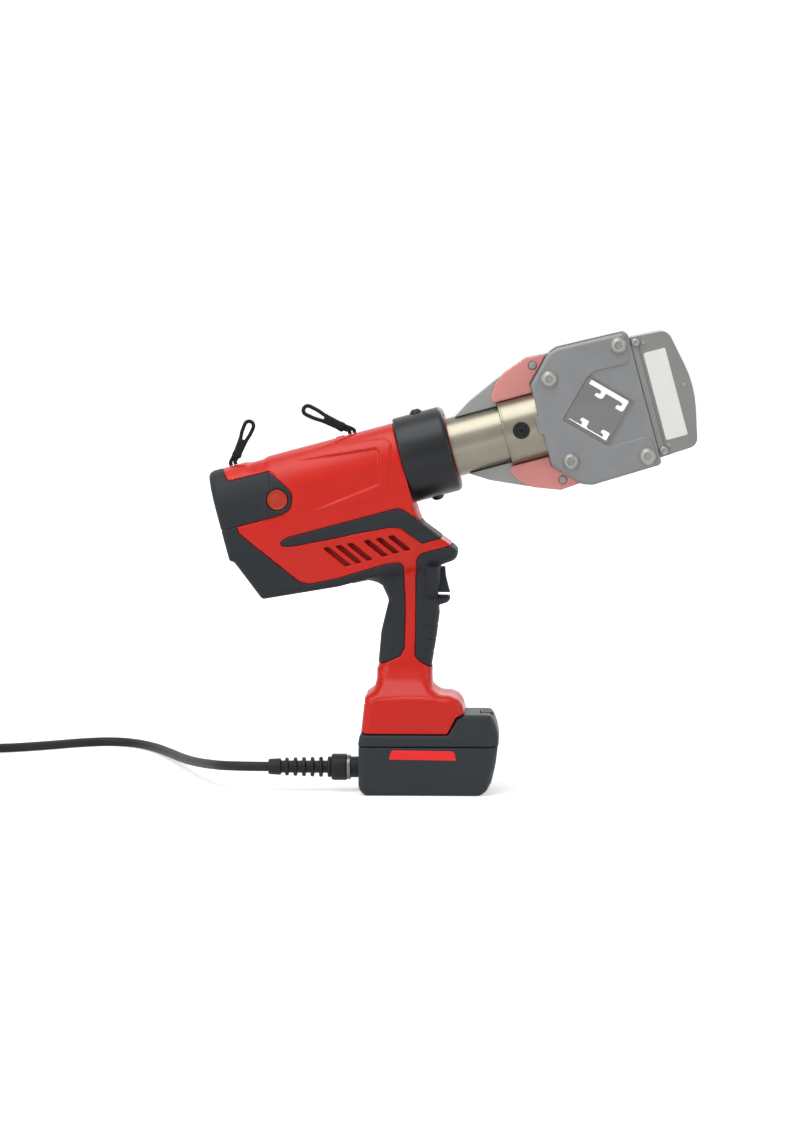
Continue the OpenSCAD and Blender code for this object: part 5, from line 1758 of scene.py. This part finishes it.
    def build_plate(self) -> None:
        """Make the near plate, with its bevelled edge and the pocket in front of the die."""
        g = Grid((98, -self.plate_face - 2, -66), (202, -self.plate_back + 2, 66), self.step)
        depth = g.y + self.plate_face
        rim = g.upright(self.plate)
        rear, front, half, under = self.plate_tab
        tab = np.maximum(slab(g.x, rear, front), np.abs(g.z) - half)
        end, width, slope, length = self.plate_bevel
        bevel = np.where(g.x < end, (rim + width - slope * depth) / length, -9.0)
        plate = np.minimum(np.maximum(rim, bevel), np.maximum(tab, under - depth))
        plate = np.maximum(plate, np.maximum(-depth, g.y + self.plate_back))
        plate = cut(plate, (np.abs(g.x - self.die_p) + np.abs(g.z)) / math.sqrt(2) - self.die_half - 0.1)
        plate = cut(plate, np.maximum(g.upright(self.pocket), depth - self.pocket_depth))
        for p, q in self.bolts:
            plate = cut(plate, np.hypot(g.x - p, np.abs(g.z) - q) - self.bolt_hole)
        self.add_form("head_plate_near", g, plate, ALLOY, "head_plate_right")

    def build_tail(self) -> None:
        """Make the fins and their covers, hollowed to the round barrel and fork, and the fork's rim."""
        g = Grid((26, -15, -64), (128, 15, 64), self.step)
        height, level, reach = np.abs(g.z), np.abs(g.y), np.hypot(g.y, g.z)
        pin_p, pin_q, pin_r, pin_end = self.cover_pin
        pin = np.hypot(g.x - pin_p, height - pin_q) - pin_r
        tube_r, fork_r, fork_p = self.fin_hollow
        fin = np.maximum(outline_distance(g.x, height, rounded(self.fin)), level - self.fin_half)
        fin = np.maximum(fin, np.where(g.x < fork_p, tube_r, fork_r) - reach)
        fin = np.minimum(fin, np.maximum(pin, level - pin_end))
        # The fins take the lighter copy of the alloy, painted light against their shade.
        self.add_form("tail_fins", g, fin, FIN_PAINTED_LIGHTER, "tail_braces")
        cover = outline_distance(g.x, height, rounded(self.cover))
        cover = np.maximum(cover, slab(level, *self.cover_levels))
        cover = cut(np.maximum(cover, self.cover_hollow - reach), pin - 0.2)
        self.add_form("tail_covers", g, cover, COVER_RED, "jaw_covers")
        add_piece("fork_rim", lathe("fork_rim", self.fork_rim, about_barrel), NICKEL, Body.BARREL)

    def build_die(self, name: str, levels: Pair, finish: Finish, body: Body,
                  node: str) -> None:
        """Cut the two rail slots through a square block that stands on its corner.

        Args:
            name: Name of the piece.
            levels: Levels of its near and far faces.
            finish: Its surface.
            body: The body that it moves with.
            node: The CAD node that it replaces.
        """
        h = self.die_half - 0.05
        square = ((-h, -h, 0.5), (h, -h, 0.5), (h, h, 0.5), (-h, h, 0.5))
        loops = [rounded(line) for line in (square, self.wide_slot, self.thin_slot)]
        count = sum(len(line) for line in loops)
        turn = 1 / math.sqrt(2)
        points = [barrel_point(self.die_p + (a + b) * turn, (b - a) * turn, level)
                  for level in levels for line in loops for a, b in line]
        flat = tessellate_polygon([[Vector((a, b, 0)) for a, b in line] for line in loops])
        faces: list[Sequence[int]] = [tuple(k + count * side for k in face)
                                      for side in (0, 1) for face in flat]
        start = 0
        for line in loops:
            n = len(line)
            faces += [(start + k, start + (k + 1) % n, count + start + (k + 1) % n, count + start + k)
                      for k in range(n)]
            start += n
        add_piece(name, solid_mesh(node, points, faces), finish, body, (node,))

    def build_bolts(self) -> None:
        """Make the four bolts through the head."""
        bolt = Screw(7.5, 4.2, 4.0, 2 * self.plate_face)
        parts = [bolt.build("bolt", p, s * q, self.plate_face) for p, q in self.bolts for s in (-1, 1)]
        add_piece("head_bolts_turned", joined("head_bolts", parts), BOLT, Body.BARREL, ("head_bolts",))

    def build_guard_trim(self) -> None:
        """Make the blank pale plate, the rear flange and the screws on the guard's near face."""
        face = -self.guard_face
        for name, outline, height, finish in (("guard_label", self.label, 0.4, PALE),
                                              ("guard_flange", self.flange, self.flange_h, GUARD)):
            sheet = sheet_mesh(name, outline, face, face - height, barrel_point)
            add_piece(name, sheet, finish, Body.BARREL)
        large, small = Screw(4.0, 2.4, 2.0, 2.0), Screw(1.9, 0.7, 1.2, 2.0)
        p, q = self.flange_screws
        parts = [large.build("flange_screw", p, s * q, self.guard_face + self.flange_h) for s in (-1, 1)]
        parts += [small.build("guard_screw", p, q, self.guard_face) for p, q in self.guard_screws]
        add_piece("guard_screws", joined("guard_screws", parts), BOLT, Body.BARREL)

    def build_collar(self) -> None:
        """Make the swivel collar with its two nubs, and the thin red ring on its front face."""
        r = self.collar_r
        sleeve = ((-24, 30.2, 0), (-24, r, 1.5), (22, r, 5), (22, 33.2, 0.8), (21, 33, 0.5),
                  (21, 27.2, 0.2), (20.1, 27.2, 0), (20.1, 30.2, 0))
        parts = [lathe("collar_sleeve", sleeve, barrel_point, 96)]
        dome = ((r - 2.5, 0, 0), (r - 2.5, 5.8, 0), (r + 0.8, 5.6, 1), (r + 3.2, 3.2, 2.4),
                (r + 3.3, 0, 0))
        for s in (-1, 1):
            parts.append(lathe("collar_nub", dome, lambda a, u, v: barrel_point(-2 + u, s * a, v), 32))
        add_piece("collar_turned", joined("collar", parts), COLLAR, Body.BODY, ("collar",))
        add_piece("collar_ring", lathe("collar_ring", self.collar_ring, barrel_point), STRIP, Body.BODY)


@dataclass
class Controls:
    """Trigger, release button, latch and the bare strip on the adapter.

    Attributes:
        strip: Outline of the strip, and strip_levels the levels of its back and face.
        button: Outline of the button, as levels, radius and rounding.
    """

    strip: Outline = ((-34.8, 33.1, 0.5), (25.4, 32.3, 0.5), (23.6, 40.8, 4), (-32.8, 41.5, 3.5))
    strip_levels: Pair = (-37.9, -38.3)
    button: Outline = (
        (27.2, 0, 0), (27.2, 5, 0), (32, 5, 0), (32, 9.3, 0.4), (37.3, 9.3, 0.9), (37.3, 8.1, 0.4),
        (36.6, 7.3, 0.5), (37.2, 3, 3), (37.3, 0, 0))

    def build(self) -> None:
        """Dress the controls, and add the button's cap and the strip."""
        dress(BLACK, "trigger", "latch_button")
        p, q = BUTTON
        cap = lathe("release_button", self.button, lambda a, u, v: barrel_point(p + u, q + v, -a))
        add_piece("release_button_cap", cap, ORANGE, Body.RELEASE, ("release_button",))
        dress(ZINC, "housing_screws")
        strip = sheet_mesh("adapter_strip", self.strip, *self.strip_levels, lambda x, z, y: (x, y, z))
        add_piece("adapter_strip", strip, STRIP, Body.ADAPTER)


@dataclass(frozen=True)
class Spring:
    """Coil spring wound between the ends of its room.

    Attributes:
        node: The CAD node that it replaces.
        joint: The joint that presses it; not used.
        body: The body that holds its fixed end.
        room: Ends of its space along its axis.
        fixed: Place of its fixed end.
        travel: Travel of the joint; not used.
        radius: Radius of the coil.
        wire: Thickness of the wire.
        turns: Number of turns.
        clear: Space left at its ends.
    """

    node: str
    joint: str
    body: Body
    room: Pair
    fixed: float
    travel: float
    radius: float
    wire: float
    turns: int
    clear: float = 0.3

    def build(self, place: Place) -> None:
        """Wind the spring.

        Args:
            place: Gives the point for a place along the axis and two offsets across it.
        """
        steps, sides, thick = 24, 10, self.wire / 2
        rows = self.turns * steps
        start, end = self.room[0] + self.clear + thick, self.room[1] - self.clear - thick
        points: list[Point] = []
        for k in range(rows + 1):
            t, at = k * math.tau / steps, start + (end - start) * k / rows
            for a in ring_angles(sides):
                r = self.radius + thick * math.cos(a)
                points.append(place(at + thick * math.sin(a), r * math.cos(t), r * math.sin(t)))
        caps = [tuple(range(sides)), tuple(range(rows * sides, (rows + 1) * sides))]
        mesh = solid_mesh(self.node, points, caps + band_faces(rows + 1, sides, closed=False), 50)
        made = add_piece(f"{self.node}_wire", mesh, STEEL, self.body, (self.node,))
        low, high = Vector(place(0, 0, 0)), Vector(place(1, 0, 0))
        tuple(Vector(place(self.fixed, 0, 0)) * MM)
        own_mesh(made)


@dataclass
class Drive:
    """Motor, gear, pump, cylinder and electrics inside the shells, with their springs.

    Attributes:
        ram_spring: Spring round the ram, along the barrel.
        trigger_spring: Spring behind the trigger, along its stem.
        stem_z: Height of the stem.
    """

    ram_spring: Spring = Spring("return_spring", "ram_stroke", Body.BARREL, room=(-42.0, 4.0), fixed=4.0,
                                travel=20.0, radius=16.0, wire=3.0, turns=6)
    trigger_spring: Spring = Spring("trigger_spring", "trigger_pull", Body.BODY, room=(-8.0, 0.0),
                                    fixed=-8.0, travel=6.0, radius=5.141, wire=0.9, turns=3)
    stem_z: float = 192.0

    def build(self) -> None:
        """Dress the inner solids and wind the springs."""
        dress(STEEL, "release_valve", "motor_can", "motor_rotor", "drive_gear", "eccentric_shaft",
              "pump_block", "pump_plunger", "ram", "roller_carrier", "roller_pins", "roller_upper",
              "roller_lower")
        dress(BRONZE, "shaft_bearings", "swivel_bush", "rod_guide")
        dress(BLACK, "trigger_switch", "terminal_block", "cooling_fan", "oil_reservoir")
        dress(SEAL, "piston_seal")
        dress(WIRE, "wire_harness")
        dress(BOARD, "power_board")
        self.ram_spring.build(about_barrel)
        self.trigger_spring.build(lambda a, u, v: (a, u, self.stem_z + v))


@dataclass
class Studio:
    """Camera, floor, world and soft lamps.

    Attributes:
        eye: Place of the camera.
        target: Point in the middle of the picture.
        lens: Focal length.
        sensor: Width of the sensor.
        floor_half: Half size of the floor.
        sky: Colour of the light from all sides, and sky_power its strength.
        floor_tone: Tone of the floor.
        floor_glow: Distances between which the floor's glow rises, in metres, and its strength there.
        lamp_target: Point that the lamps shine on.
        lamps: Name, place, size and power of each lamp.
    """

    eye: Point = (103.5, -3788.4, 473.1)
    target: Point = (-28.8, 0.0, 208.0)
    lens: float = 135.35
    sensor: float = 36.0
    floor_half: float = 9000.0
    sky: Colour = (0.9, 0.93, 1.0)
    sky_power: float = 0.33
    floor_tone: float = 0.86
    floor_glow: Sizes = (0.5, 1.6, 0.5, 1.0)
    lamp_target: Point = (0.0, 0.0, 220.0)
    lamps: tuple[tuple[str, Point, float, float], ...] = (
        ("over", (-500, -700, 2300), 1700, 33), ("front", (-1900, -2300, 1500), 1300, 22),
        ("side", (2200, -1100, 1000), 1200, 9), ("back", (600, 2000, 1500), 1500, 14))

    def build(self) -> None:
        """Set up the camera, then the floor and the light."""
        data = bpy.data.cameras.new("camera")
        data.lens, data.sensor_width, data.clip_end = self.lens, self.sensor, 60
        camera = add_object("camera", data)
        self.aim(camera, self.eye, self.target)
        bpy.context.scene.camera = camera
        bpy.context.scene.view_settings.view_transform = "Standard"
        self.build_world()
        self.build_floor()
        self.build_lamps()

    def aim(self, made: bpy.types.Object, place: Point, target: Point) -> None:
        """Put an object at a place and turn it to a target."""
        made.location = Vector(place) * MM
        made.rotation_euler = (Vector(target) - Vector(place)).to_track_quat("-Z", "Y").to_euler()

    def seen(self, tree: Tree) -> Socket:
        """Find out what the camera, a gloss or glass sees.

        Args:
            tree: The node tree that asks.

        Returns:
            A socket that is 1 for such rays.
        """
        path = tree.nodes.new("ShaderNodeLightPath")
        total = path.outputs["Is Camera Ray"]
        for key in ("Is Glossy Ray", "Is Transmission Ray"):
            more = add_node(tree, "ShaderNodeMath", operation="MAXIMUM")
            tree.links.new(total, more.inputs[0])
            tree.links.new(path.outputs[key], more.inputs[1])
            total = more.outputs[0]
        return total

    def build_world(self) -> None:
        """Make a white surround that lights the object softly."""
        world = bpy.data.worlds.new("studio")
        bpy.context.scene.world = world
        world.use_nodes = True
        tree = world.node_tree
        light = tree.nodes["Background"]
        set_inputs(light, {"Color": (*self.sky, 1), "Strength": self.sky_power})
        white = add_node(tree, "ShaderNodeBackground", {"Color": (1, 1, 1, 1)})
        mix = tree.nodes.new("ShaderNodeMixShader")
        for k, socket in enumerate((self.seen(tree), light.outputs[0], white.outputs[0])):
            tree.links.new(socket, mix.inputs[k])
        tree.links.new(mix.outputs[0], tree.nodes["World Output"].inputs["Surface"])

    def build_floor(self) -> None:
        """Make a pale floor that keeps the object's shadow."""
        half = self.floor_half
        corners = [(-half, -half, 0), (half, -half, 0), (half, half, 0), (-half, half, 0)]
        mesh = solid_mesh("floor", corners, [(0, 1, 2, 3)])
        add_object("floor", mesh)
        made = bpy.data.materials.new("floor")
        made.use_nodes = True
        tree = made.node_tree
        shader = tree.nodes["Principled BSDF"]
        set_inputs(shader, {"Base Color": (*[self.floor_tone] * 3, 1), "Roughness": 0.9,
                            "Specular IOR Level": 0.0, "Emission Color": (1, 1, 1, 1)})
        place = tree.nodes.new("ShaderNodeNewGeometry")
        reach = add_node(tree, "ShaderNodeVectorMath", operation="LENGTH")
        tree.links.new(place.outputs["Position"], reach.inputs[0])
        ends = dict(zip(("From Min", "From Max", "To Min", "To Max"), self.floor_glow))
        fade = add_node(tree, "ShaderNodeMapRange", ends, interpolation_type="SMOOTHSTEP")
        tree.links.new(reach.outputs["Value"], fade.inputs["Value"])
        lift = add_node(tree, "ShaderNodeMath", operation="MULTIPLY")
        tree.links.new(self.seen(tree), lift.inputs[0])
        tree.links.new(fade.outputs["Result"], lift.inputs[1])
        tree.links.new(lift.outputs[0], shader.inputs["Emission Strength"])
        mesh.materials.append(made)

    def build_lamps(self) -> None:
        """Hang large soft lamps over and beside the tool."""
        for name, place, size, power in self.lamps:
            data = bpy.data.lights.new(name, "AREA")
            data.shape, data.size, data.energy = "SQUARE", size * MM, power
            self.aim(add_object(name, data), place, self.lamp_target)


def main() -> None:
    """Build the camera and the cords first, then the shells and the rest of the tool."""
    logging.basicConfig(level=logging.INFO, format="%(message)s")
    step = 1.0
    loops = (StrapLoop("strap_loop_rear", (-172.3, 37.3), (-147.4, 69.2)),
             StrapLoop("strap_loop_front", (-62.2, 37.3), (-98.2, 68.4)))
    for group in (Studio(), MainsCord(), *loops, ToolShell(step), AdapterShell(step),
                  ShearHead(step * 0.7), Controls(), Drive()):
        group.build()


if __name__ == "__main__":
    main()
